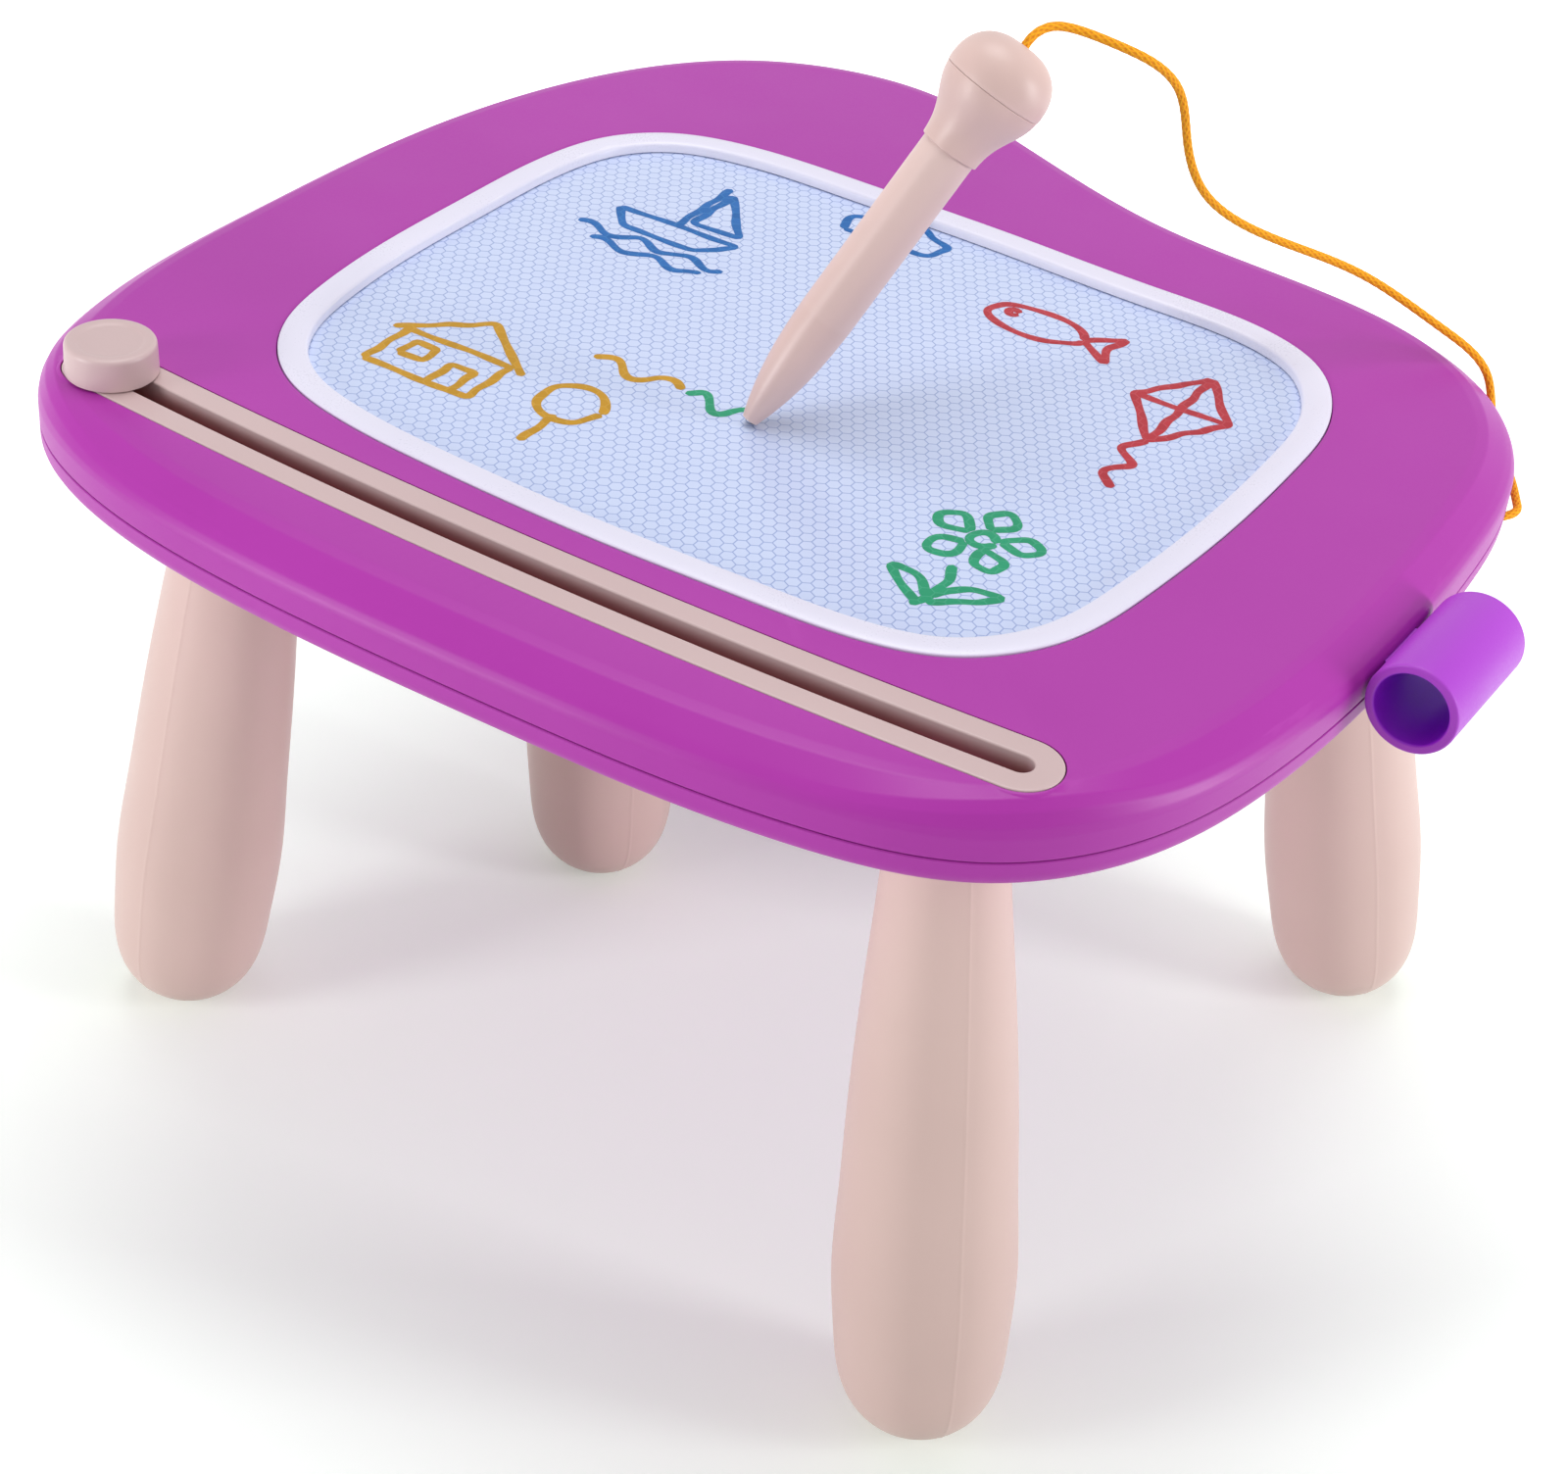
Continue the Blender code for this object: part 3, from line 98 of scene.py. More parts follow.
Points = np.ndarray
Rows = list[np.ndarray]
Rgb = tuple[int, int, int]
Rgba = tuple[float, float, float, float]
Socket = bpy.types.NodeSocket
Tree = bpy.types.NodeTree


class Body(Enum):
    """The bodies of the frame that pieces ride on."""

    BOARD = "board"
    ERASER = "eraser"
    PEN = "pen"
    LEG_FRONT_LEFT = "front_left_leg"
    LEG_FRONT_RIGHT = "front_right_leg"
    LEG_BACK_RIGHT = "back_right_leg"
    LEG_BACK_LEFT = "back_left_leg"


class Slot(Enum):
    """The record's material slots."""

    VIOLET = "violet_plastic"
    LILAC = "lilac_plastic"
    FILM = "screen_film"
    CELLS = "cell_sheet"
    DUSKY = "dusky_pink_plastic"
    PINK = "pink_plastic"
    BRIGHT = "bright_violet_plastic"
    STEEL = "zinc_plated_steel"
    MAGNET = "ferrite_magnet"
    CORD = "orange_cord"


class Cut(Enum):
    """How a helper shape works on a piece."""

    JOIN = "UNION"
    TAKE = "DIFFERENCE"


# ---------------------------------------------------------------- curves and surfaces


def run_along(points: Points) -> Points:
    """The length of a polyline from its start to each of its points."""
    return np.concatenate([[0], np.cumsum(np.linalg.norm(np.diff(points, axis=0), axis=1))])


def units(vectors: Points) -> Points:
    """Each vector brought to a length of 1."""
    return vectors / np.linalg.norm(vectors, axis=1)[:, None]


def to_right(directions: Points) -> Points:
    """Plan directions turned a quarter to the right: (y, -x)."""
    return np.column_stack([directions[:, 1], -directions[:, 0]])


def bearing(away: Points) -> Points:
    """The angle of each plan vector."""
    return np.arctan2(away[:, 1], away[:, 0])


def around(angles: Points) -> Points:
    """Points of the unit circle: (cos a, sin a) over the angles."""
    return np.column_stack([np.cos(angles), np.sin(angles)])


def even_angles(sides: int) -> Points:
    """Angles of one full turn without its end."""
    return np.linspace(0, FULL_TURN, sides, endpoint=False)


def at_height(points: Points, height: float) -> Points:
    """Plan points lifted to a height."""
    return np.column_stack([points, np.full(len(points), height)])


def smooth_curve(points: Points, closed: bool, count: int, fine_steps: int = 24) -> Points:
    """Points spaced evenly along the natural cubic spline through the given ones.

    The spline's second derivatives solve one linear system; each span is then the usual cubic
    of its two ends and their second derivatives, and the whole is resampled by its length.

    Args:
        points: The points to pass through.
        closed: Whether the curve returns to its first point.
        count: How many points to give back.
        fine_steps: Steps in each span before the resampling.

    Returns:
        An array of count points.
    """
    points = np.asarray(points, dtype=float)
    knots = np.vstack([points, points[:1]]) if closed else points
    spans = np.linalg.norm(np.diff(knots, axis=0), axis=1)
    slopes = np.diff(knots, axis=0) / spans[:, None]
    bends = np.zeros_like(knots)
    if closed:
        before = np.roll(spans, 1)
        rows = np.arange(len(spans))
        system = np.diag(2 * (before + spans))
        system[rows, (rows + 1) % len(spans)] += spans
        system[rows, (rows - 1) % len(spans)] += before
        bends[:-1] = np.linalg.solve(system, 6 * (slopes - np.roll(slopes, 1, axis=0)))
        bends[-1] = bends[0]
    else:
        system = np.diag(2 * (spans[:-1] + spans[1:]))
        system += np.diag(spans[1:-1], 1) + np.diag(spans[1:-1], -1)
        bends[1:-1] = np.linalg.solve(system, 6 * np.diff(slopes, axis=0))
    ahead = np.linspace(0, 1, fine_steps, endpoint=False)[None, :, None]
    behind = 1 - ahead
    curl = (behind**3 - behind) * bends[:-1, None] + (ahead**3 - ahead) * bends[1:, None]
    straight = behind * knots[:-1, None] + ahead * knots[1:, None]
    spread = straight + spans[:, None, None] ** 2 / 6 * curl
    fine = np.vstack([spread.reshape(-1, points.shape[1]), knots[-1:]])
    run = run_along(fine)
    places = np.linspace(0, run[-1], count, endpoint=not closed)
    return np.column_stack([np.interp(places, run, axis) for axis in fine.T])


def rounded(points: Points, reach: float | Points, steps: int = 6, share: float = 0.46) -> Points:
    """A polyline with each corner rounded by a parabola that starts and ends near it.

    The parabola is (1-t)^2 P + 2t(1-t) B + t^2 Q, where B is the corner and P and Q lie at the
    reach from it on its two sides, or at a share of the side where that is shorter.

    Args:
        points: The corners, with the two ends.
        reach: How far from a corner its rounding starts, for all corners or for each.
        steps: Points in each rounding.
        share: The longest part of a side that one rounding takes.

    Returns:
        The rounded line's points.
    """
    points = np.asarray(points, dtype=float)
    corner, sides = points[1:-1], np.diff(points, axis=0)
    lengths, ways = np.linalg.norm(sides, axis=1), units(sides)
    start = corner - np.minimum(reach, share * lengths[:-1])[:, None] * ways[:-1]
    end = corner + np.minimum(reach, share * lengths[1:])[:, None] * ways[1:]
    t = np.linspace(0, 1, steps)[None, :, None]
    arcs = (1 - t) ** 2 * start[:, None] + 2 * t * (1 - t) * corner[:, None] + t**2 * end[:, None]
    return np.vstack([points[:1], arcs.reshape(-1, points.shape[1]), points[-1:]])


def outward(points: Points) -> Points:
    """The unit normals of a closed plan curve, away from its inside, whichever way it runs.

    Args:
        points: The curve's points, in order.

    Returns:
        One normal for each point, square to the line between its two neighbours.
    """
    after = np.roll(points, -1, axis=0)
    turn = np.sign(np.sum(points[:, 0] * after[:, 1] - points[:, 1] * after[:, 0]))
    return turn * to_right(units(after - np.roll(points, 1, axis=0)))


def turned_rows(profile: Points, angles: Points) -> Rows:
    """Rings of a profile of radius and height turned about Z; a radius of zero is a pole."""
    return [
        at_height(radius * around(angles), height) if radius > POLE else np.array([[0, 0, height]])
        for radius, height in np.asarray(profile, dtype=float)
    ]


def moved(rows: Rows, matrix: Matrix) -> Rows:
    """Rows of points taken through a matrix."""
    turn = np.array(matrix)
    return [row @ turn[:3, :3].T + turn[:3, 3] for row in rows]


def turn_to(axis: Vector) -> Matrix:
    """The turn that takes Z to an axis."""
    return Vector((0, 0, 1)).rotation_difference(axis).to_matrix().to_4x4()


def rod_rows(start: Vector, end: Vector, radius: float, sides: int = ROD_SIDES) -> Rows:
    """The two rings of a round rod between two points.

    Args:
        start: The middle of its first end.
        end: The middle of its last end.
        radius: Its radius.
        sides: Points in each ring.

    Returns:
        The ring at each end, square to the rod.
    """
    turn = turn_to((end - start).normalized())
    ring = turned_rows([(radius, 0)], even_angles(sides))
    return [moved(ring, Matrix.Translation(spot) @ turn)[0] for spot in (start, end)]


def block_rows(near: Sequence[float], far: Sequence[float], taper: float = 1.0) -> Rows:
    """The two level rings of a block between opposite corners, the upper one tapered."""
    ring = np.array([near[:2], (far[0], near[1]), far[:2], (near[0], far[1])])
    return [at_height(ring, near[2]), at_height(ring * taper, far[2])]


def enclosed(points: Points, blocks: Sequence[Points]) -> float:
    """The signed volume inside faces, times six: the sum of their corners' triple products.

    Args:
        points: The places of the corners.
        blocks: Faces as rows of point numbers, with the same count of corners in each block.

    Returns:
        A sum that is positive where the faces point outwards.
    """
    total = 0.0
    for block in blocks:
        first, *others = (points[corner] for corner in block.T)
        for second, third in zip(others, others[1:]):
            total += float(np.sum(first * np.cross(second, third)))
    return total


def skinned(
    name: str, shapes: Sequence[Rows], looped: bool = False, rises: Points | None = None
) -> bpy.types.Mesh:
    """A closed mesh of quads between neighbouring rings, for one shape or several.

    Ring i and ring i+1 are joined point by point: (i,j), (i,j+1), (i+1,j+1), (i+1,j). A ring of
    one point is a pole. Open ends close on their own middle. The sign of the volume settles
    which way the faces point.

    Args:
        name: The mesh's name.
        shapes: The rows of each closed shape.
        looped: Whether the last ring joins the first.
        rises: The length along the shape at each ring, for a UV map (one shape only).

    Returns:
        The mesh, in the board's frame.
    """
    points, faces, maps = [], [], []
    count = 0
    for rows in shapes:
        rows = [np.asarray(row, dtype=float) for row in rows]
        lengths = [0.0] * len(rows) if rises is None else list(rises)
        if not looped and len(rows[0]) > 1:
            rows.insert(0, rows[0].mean(axis=0)[None])
            lengths.insert(0, lengths[0])
        if not looped and len(rows[-1]) > 1:
            rows.append(rows[-1].mean(axis=0)[None])
            lengths.append(lengths[-1])
        sizes = [len(row) for row in rows]
        starts = np.concatenate([[0], np.cumsum(sizes)])
        body, chart = [], []
        for low in range(len(rows) if looped else len(rows) - 1):
            high = (low + 1) % len(rows)
            wide = max(sizes[low], sizes[high])
            if wide == 1:
                continue
            here = np.arange(wide)
            corners = [(low, here), (low, here + 1), (high, here + 1), (high, here)]
            if min(sizes[low], sizes[high]) == 1:
                corners.pop(1 if sizes[low] == 1 else 3)
            numbers = [starts[ring] + step % sizes[ring] for ring, step in corners]
            spots = [at_height(step / wide, lengths[ring]) for ring, step in corners]
            body.append(np.column_stack(numbers))
            chart.append(np.stack(spots, axis=1))
        whole = np.vstack(rows)
        flip = slice(None, None, -1) if enclosed(whole, body) < 0 else slice(None)
        faces += [face for block in body for face in (count + block[:, flip]).tolist()]
        maps += [block[:, flip].reshape(-1, 2) for block in chart]
        points.append(whole)
        count += len(whole)
    mesh = bpy.data.meshes.new(name)
    mesh.from_pydata(np.vstack(points), [], faces)
    if rises is not None:
        layer = mesh.uv_layers.new(name="length")
        layer.data.foreach_set("uv", np.vstack(maps).astype(np.float32).ravel())
    mesh.update()
    return mesh


def add_item(name: str, mesh: bpy.types.Mesh) -> bpy.types.Object:
    """An object of the mesh, linked to the scene."""
    item = bpy.data.objects.new(name, mesh)
    bpy.context.scene.collection.objects.link(item)
    return item


def carved(mesh: bpy.types.Mesh, jobs: Sequence[tuple[bpy.types.Mesh, Cut]]) -> bpy.types.Mesh:
    """The mesh with helper shapes joined to it or cut out of it, in order.

    Args:
        mesh: The closed mesh to work on.
        jobs: Each helper mesh and what it does.

    Returns:
        A new mesh; the old one and the helpers are removed.
    """
    item = add_item("work_piece", mesh)
    tools = []
    for shape, cut in jobs:
        tool = add_item("work_tool", shape)
        tools.append(tool)
        step = item.modifiers.new("work", "BOOLEAN")
        step.operation, step.solver, step.object = cut.value, "EXACT", tool
    graph = bpy.context.evaluated_depsgraph_get()
    made = bpy.data.meshes.new_from_object(item.evaluated_get(graph))
    made.name = mesh.name
    for used in (item, *tools):
        old = used.data
        bpy.data.objects.remove(used)
        bpy.data.meshes.remove(old)
    return made


def add_piece(
    name: str, mesh: bpy.types.Mesh, finish: "Finish", body: Body | None,
    replaced: Sequence[str] = (), settled: bool = False, angle: float = SOFT_EDGE,
) -> bpy.types.Object:
    """Dress a finished mesh and hang it on its body.

    Args:
        name: The piece's name.
        mesh: Its mesh in the board's frame.
        finish: What it is made of, which also names its slot in the record.
        body: The body that it moves with, or None to leave it unattached.
        replaced: The frame's nodes that it stands for.
        settled: Whether the mesh is already in the frame's own place.
        angle: Edges sharper than this stay sharp.

    Returns:
        The object.
    """
    if not settled:
        mesh.transform(Matrix.Translation(BOARD_ORIGIN))
    mesh.shade_smooth()
    mesh.set_sharp_from_angle(angle=angle)
    mesh.materials.clear()
    mesh.materials.append(finish.material())
    item = add_item(name, mesh)
    if body:
        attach(item, body.value)
    if replaced:
        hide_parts(*replaced)
    log.info("%s: %d faces on %s", name, len(mesh.polygons), body.value if body else "two bodies")
    return item


# ---------------------------------------------------------------- shader nodes


def linear(colour: Rgb) -> Rgba:
    """A screen colour of 0 to 255 as light, with full opacity."""
    light = [
        part / 12.92 if part <= 0.04045 else ((part + 0.055) / 1.055) ** 2.4
        for part in (level / 255 for level in colour)
    ]
    return (*light, 1.0)


def place(tree: Tree, kind: str, inputs: dict | None = None, **settings) -> bpy.types.Node:
    """Add a shader node with its settings; an input that is a socket is linked.

    Args:
        tree: The node tree.
        kind: The node's type, without its prefix.
        inputs: Values or sockets by input name or number.
        settings: The node's own properties.

    Returns:
        The node.
    """
    node = tree.nodes.new("ShaderNode" + kind)
    for key, value in settings.items():
        setattr(node, key, value)
    for key, value in (inputs or {}).items():
        if isinstance(value, bpy.types.NodeSocket):
            tree.links.new(value, node.inputs[key])
        else:
            node.inputs[key].default_value = value
    return node


def maths(tree: Tree, operation: str, *values: float | Socket) -> Socket:
    """The result of a Math node on these values."""
    return place(tree, "Math", dict(enumerate(values)), operation=operation).outputs[0]


def vectors(tree: Tree, operation: str, *values: tuple | Socket) -> Socket:
    """The vector that a Vector Math node makes of these values."""
    return place(tree, "VectorMath", dict(enumerate(values)), operation=operation).outputs[0]


def length_of(tree: Tree, vector: Socket) -> Socket:
    """A vector's length."""
    return place(tree, "VectorMath", {0: vector}, operation="LENGTH").outputs["Value"]


def own_place(tree: Tree) -> Socket:
    """Object coordinates."""
    return place(tree, "TexCoord").outputs["Object"]


def noise(tree: Tree, spot: Socket, scale: float | Socket, detail: float) -> Socket:
    """Soft noise of 0 to 1 at a place."""
    inputs = {"Vector": spot, "Scale": scale, "Detail": detail}
    return place(tree, "TexNoise", inputs).outputs["Fac"]


def blended(tree: Tree, share: Socket, one: Rgba | Socket, two: Rgba | Socket) -> Socket:
    """A colour between two: the first where the share is 0 and the second where it is 1."""
    return place(tree, "Mix", {0: share, 6: one, 7: two}, data_type="RGBA").outputs[2]


def ranged(
    tree: Tree, value: Socket, span: tuple = (0.0, 1.0), result: tuple = (0.0, 1.0),
    ease: str = "LINEAR",
) -> Socket:
    """A value taken from one range to another and held at its ends.

    Args:
        tree: The node tree.
        value: What is read.
        span: The two ends that it is read over, as values or sockets.
        result: What they become.
        ease: The Map Range node's way between them.

    Returns:
        The new value.
    """
    inputs = dict(zip(("From Min", "From Max", "To Min", "To Max"), (*span, *result)))
    return place(tree, "MapRange", {"Value": value, **inputs}, interpolation_type=ease).outputs[0]


def join(tree: Tree, ends: bpy.types.NodeInputs, sockets: dict[str, Socket]) -> None:
    """Link sockets to the inputs that have these names."""
    for label, socket in sockets.items():
        tree.links.new(socket, ends[label])


def new_group(name: str, takes: dict[str, tuple[str, object]], gives: dict[str, str]) -> tuple:
    """A shader node group with named sockets.

    Args:
        name: The group's name.
        takes: Input names with their kind and default.
        gives: Output names with their kind.

    Returns:
        The group, the sockets that it takes and the sockets that it gives.
    """
    group = bpy.data.node_groups.new(name, "ShaderNodeTree")
    for label, (kind, value) in takes.items():
        socket = group.interface.new_socket(label, in_out="INPUT", socket_type="NodeSocket" + kind)
        socket.default_value = value
    for label, kind in gives.items():
        group.interface.new_socket(label, in_out="OUTPUT", socket_type="NodeSocket" + kind)
    taken, given = (group.nodes.new(kind) for kind in ("NodeGroupInput", "NodeGroupOutput"))
    return group, taken.outputs, given.inputs


def build_moulded_group() -> Tree:
    """Moulded plastic: a slow change of tint, fine spark-eroded grain and edges painted lighter as
    a highlight.

    Returns:
        The group.
    """
    group, taken, given = new_group(
        "moulded_surface",
        {
            "Colour": ("Color", (0.5, 0.5, 0.5, 1)), "Shade": ("Color", (0.4, 0.4, 0.4, 1)),
            "Edge": ("Color", (0.8, 0.8, 0.8, 1)), "Painted Highlight Amount": ("Float", 0.3),
            "Grain": ("Float", 1500.0), "Smooth": ("Float", 0.3), "Rough": ("Float", 0.45),
        },
        {"Colour": "Color", "Roughness": "Float", "Height": "Float"},
    )
    spot = own_place(group)
    tint = ranged(group, noise(group, spot, TINT_SCALE, 3.0), TINT_RANGE)
    base = blended(group, tint, taken["Colour"], taken["Shade"])
    # Painted highlight: edges that the pointiness finds sharp are painted towards the edge colour.
    highlight_mask = ranged(group, place(group, "NewGeometry").outputs["Pointiness"], HIGHLIGHT_RANGE)
    amount = maths(group, "MULTIPLY", highlight_mask, taken["Painted Highlight Amount"])
    grain = noise(group, spot, taken["Grain"], 2.0)
    mixed = maths(group, "MULTIPLY", grain, noise(group, spot, PATCH_SCALE, 4.0))
    join(group, given, {
        "Colour": blended(group, amount, base, taken["Edge"]),
        "Roughness": ranged(group, mixed, GRAIN_RANGE, (taken["Smooth"], taken["Rough"])),
        "Height": grain,
    })
    return group


def build_cell_group() -> Tree:
    """Six-sided cells, from two square grids of centres that are offset by half a cell.

    The nearer centre gives each point its cell, and the largest of the point's three distances
    across the flats from that centre gives the wall.

    Returns:
        The group.
    """
    group, taken, given = new_group(
        "six_sided_cells",
        {"Pitch": ("Float", 0.004), "Wall": ("Float", 0.09)},
        {"Wall": "Float", "Cell": "Float"},
    )
    steps = maths(group, "DIVIDE", 1.0, taken["Pitch"])
    scaled = place(group, "VectorMath", {0: own_place(group), "Scale": steps}, operation="SCALE")
    flat = vectors(group, "MULTIPLY", scaled.outputs[0], (1, 1, 0))
    aside = vectors(group, "SUBTRACT", flat, (*HALF_CELL[:2], 0))
    back = tuple(-side for side in HALF_CELL)
    one, two = (vectors(group, "WRAP", spot, HALF_CELL, back) for spot in (flat, aside))
    nearer = maths(group, "LESS_THAN", length_of(group, one), length_of(group, two))
    cell = place(group, "Mix", {0: nearer, 4: two, 5: one}, data_type="VECTOR").outputs[1]
    sides = place(group, "SeparateXYZ", {0: vectors(group, "ABSOLUTE", cell)}).outputs
    slant = maths(group, "MULTIPLY", sides[1], HALF_CELL[1])
    slant = maths(group, "MULTIPLY_ADD", sides[0], HALF_CELL[0], slant)
    reach = maths(group, "MAXIMUM", sides[0], slant)
    inner = maths(group, "SUBTRACT", HALF_CELL[0], taken["Wall"])
    centre = vectors(group, "SNAP", vectors(group, "SUBTRACT", flat, cell), CELL_SNAP)
    chance = place(group, "TexWhiteNoise", {"Vector": centre}, noise_dimensions="3D")
    join(group, given, {
        "Wall": ranged(group, reach, (inner, HALF_CELL[0]), ease="SMOOTHSTEP"),
        "Cell": chance.outputs["Value"],
    })
    return group


def build_braid_group() -> Tree:
    """A round braid on the cord's own map.

    Two families of strands wind opposite ways, each a sine of the turn plus or minus the
    length, and the higher of the two is on top.

    Returns:
        The group.
    """
    group, taken, given = new_group(
        "round_braid",
        {"Strands": ("Float", BRAID_STRANDS), "Lay": ("Float", BRAID_LAY)},
        {"Height": "Float", "Family": "Float", "Fibre": "Float"},
    )
    chart = place(group, "TexCoord").outputs["UV"]
    parts = place(group, "SeparateXYZ", {0: chart}).outputs
    turns = maths(group, "MULTIPLY", parts[0], taken["Strands"])
    rise = maths(group, "DIVIDE", parts[1], taken["Lay"])
    phases = [maths(group, way, turns, rise) for way in ("ADD", "SUBTRACT")]
    waves = [maths(group, "SINE", maths(group, "MULTIPLY", phase, FULL_TURN)) for phase in phases]
    join(group, given, {
        "Height": maths(group, "MAXIMUM", *waves),
        "Family": maths(group, "GREATER_THAN", *waves),
        "Fibre": noise(group, vectors(group, "MULTIPLY", chart, FIBRE_STRETCH), 1.0, 2.0),
    })
    return group


@dataclass(frozen=True)
class Groups:
    """The shared node groups."""

    moulded: Tree
    cells: Tree
    braid: Tree


groups = Groups(build_moulded_group(), build_cell_group(), build_braid_group())


# ---------------------------------------------------------------- finishes


@dataclass(frozen=True)
class PaintedShade:
    """Painted shade: a darker colour painted where a surface lies deep inside a slot or a bore.

    The mask runs from 0 at one distance to 1 at another. The distance is the length of a
    weighted place in a centred and turned frame: from a plane, a line or a point.
    """

    colour: Rgb
    centre: tuple[float, float, float]
    weights: tuple[float, float, float]
    start: float
    end: float
    turn: float = 0.0

    def paint_shade(self, tree: Tree, colour: Socket) -> Socket:
        """Mix a colour towards the painted shade's colour by the mask.

        Args:
            tree: The material's node tree.
            colour: The colour outside the painted shade.

        Returns:
            The mixed colour.
        """
        local = place(
            tree, "Mapping",
            {"Vector": own_place(tree), "Location": self.centre, "Rotation": (0, 0, self.turn)},
            vector_type="TEXTURE",
        )
        far = length_of(tree, vectors(tree, "MULTIPLY", local.outputs[0], self.weights))
        return blended(tree, ranged(tree, far, (self.start, self.end)), colour, linear(self.colour))


@dataclass(frozen=True)
class Finish:
    """Moulded plastic or plain metal of one colour.

    The colour drifts a little towards its shade over the surface, the grain roughens it, and
    its edges are painted lighter as a highlight. Where it has one, a slot or a bore is painted
    darker as shade.
    """

    slot: Slot
    colour: Rgb
    shade: Rgb
    # The colour painted along sharp edges as a highlight, then the share of it; the braid puts this
    # colour between its strands.
    edge: Rgb
    highlight_amount: float = 0.3
    smooth: float = 0.3
    rough: float = 0.42
    grain: float = 1500.0
    bump: float = 0.05
    metallic: float = 0.0
    specular: float = 0.5
    coat: float = 0.0
    # Painted shade: a darker colour in a slot or a bore, where the piece has one.
    painted_shade: PaintedShade | None = None
    name: str = ""

    @property
    def label(self) -> str:
        """The finish's name: its own, or that of its slot."""
        return self.name or self.slot.value

    def material(self) -> bpy.types.Material:
        """The finish as a material, made once.

        Returns:
            The material.
        """
        known = bpy.data.materials.get(f"fine_{self.label}")
        if known:
            return known
        material = bpy.data.materials.new(f"fine_{self.label}")
        material.use_nodes = True
        material.diffuse_color = linear(self.colour)
        tree = material.node_tree
        inputs = tree.nodes["Principled BSDF"].inputs
        colour, rough, height = self.paint(tree)
        lift = {"Strength": self.bump, "Distance": BUMP_DEPTH, "Height": height}
        bump = place(tree, "Bump", lift).outputs[0]
        join(tree, inputs, {"Base Color": colour, "Roughness": rough, "Normal": bump})
        for name, value in (
            ("Metallic", self.metallic), ("Specular IOR Level", self.specular),
            ("Coat Weight", self.coat), ("Coat Roughness", COAT_ROUGHNESS),
        ):
            inputs[name].default_value = value
        return material

    def paint(self, tree: Tree) -> tuple[Socket, Socket, Socket]:
        """The moulded surface, with its painted shade where it has one.

        Args:
            tree: The material's node tree.

        Returns:
            The colour, the roughness and the height.
        """
        # The edge colour and its amount paint a highlight along the sharp edges.
        surface = place(tree, "Group", {
            "Colour": linear(self.colour), "Shade": linear(self.shade),
            "Edge": linear(self.edge), "Painted Highlight Amount": self.highlight_amount,
            "Grain": self.grain, "Smooth": self.smooth, "Rough": self.rough,
        }, node_tree=groups.moulded).outputs
        colour = surface["Colour"]
        # A slot or a bore is painted darker here as shade.
        if self.painted_shade:
            colour = self.painted_shade.paint_shade(tree, colour)
        return colour, surface["Roughness"], surface["Height"]


@dataclass(frozen=True)
class CellFinish(Finish):
    """A surface that shows the screen's six-sided cells: pale liquid between thin walls."""

    wall: Rgb = (140, 160, 214)
    wall_share: float = 0.085
    wall_amount: float = 0.95
    change: float = 0.35

    def paint(self, tree: Tree) -> tuple[Socket, Socket, Socket]:
        """Colour each cell on its own and draw the walls between them.

        Args:
            tree: The material's node tree.

        Returns:
            The colour, the roughness and the height.
        """
        cells = place(tree, "Group", {"Wall": self.wall_share}, node_tree=groups.cells).outputs
        drift = maths(tree, "MULTIPLY", cells["Cell"], self.change)
        liquid = blended(tree, drift, linear(self.colour), linear(self.shade))
        amount = maths(tree, "MULTIPLY", cells["Wall"], self.wall_amount)
        rough = ranged(tree, cells["Cell"], result=(self.smooth, self.rough))
        return blended(tree, amount, liquid, linear(self.wall)), rough, cells["Wall"]


@dataclass(frozen=True)
class BraidFinish(Finish):
    """Braided yarn, with the strands of one family a little darker."""

    def paint(self, tree: Tree) -> tuple[Socket, Socket, Socket]:
        """Colour the strands, darken the gaps and lift the yarn.

        Args:
            tree: The material's node tree.

        Returns:
            The colour, the roughness and the height.
        """
        braid = place(tree, "Group", node_tree=groups.braid).outputs
        strand = blended(tree, braid["Family"], linear(self.colour), linear(self.shade))
        gap = ranged(tree, braid["Height"], GAP_RANGE, GAP_SHADE)
        rough = ranged(tree, braid["Fibre"], result=(self.smooth, self.rough))
        lift = maths(tree, "MULTIPLY_ADD", braid["Fibre"], FIBRE_SHARE, braid["Height"])
        return blended(tree, gap, strand, linear(self.edge)), rough, lift


# The third colour of each plain finish is a highlight painted along its sharp edges; the cell
# finishes leave it unused, and the cord puts it between its strands.
VIOLET = Finish(
    Slot.VIOLET, (175, 50, 168), (170, 46, 163), (194, 78, 186),
    highlight_amount=0.15, smooth=0.38, rough=0.44, bump=0.02, specular=0.3,
)
LILAC = Finish(
    Slot.LILAC, (231, 228, 245), (226, 223, 241), (246, 245, 252),
    highlight_amount=0.3, smooth=0.26, rough=0.36, bump=0.02,
)
PINK = Finish(
    Slot.PINK, (221, 191, 184), (215, 185, 178), (238, 216, 210),
    highlight_amount=0.3, smooth=0.36, rough=0.46, bump=0.03,
)
DUSKY = Finish(
    Slot.DUSKY, (207, 181, 181), (201, 175, 175), (230, 210, 208),
    highlight_amount=0.4, smooth=0.34, rough=0.46, bump=0.03,
)
BRIGHT = Finish(
    Slot.BRIGHT, (180, 66, 210), (170, 60, 202), (208, 112, 232),
    highlight_amount=0.35, smooth=0.34, rough=0.48, specular=0.35,
)
STEEL = Finish(
    Slot.STEEL, (196, 196, 200), (176, 178, 184), (226, 226, 228),
    highlight_amount=0.5, smooth=0.2, rough=0.38, grain=900.0, bump=0.08, metallic=1.0,
)
MAGNET = Finish(
    Slot.MAGNET, (60, 58, 60), (48, 46, 48), (92, 90, 90),
    highlight_amount=0.3, smooth=0.5, rough=0.75, grain=1200.0, bump=0.3,
)
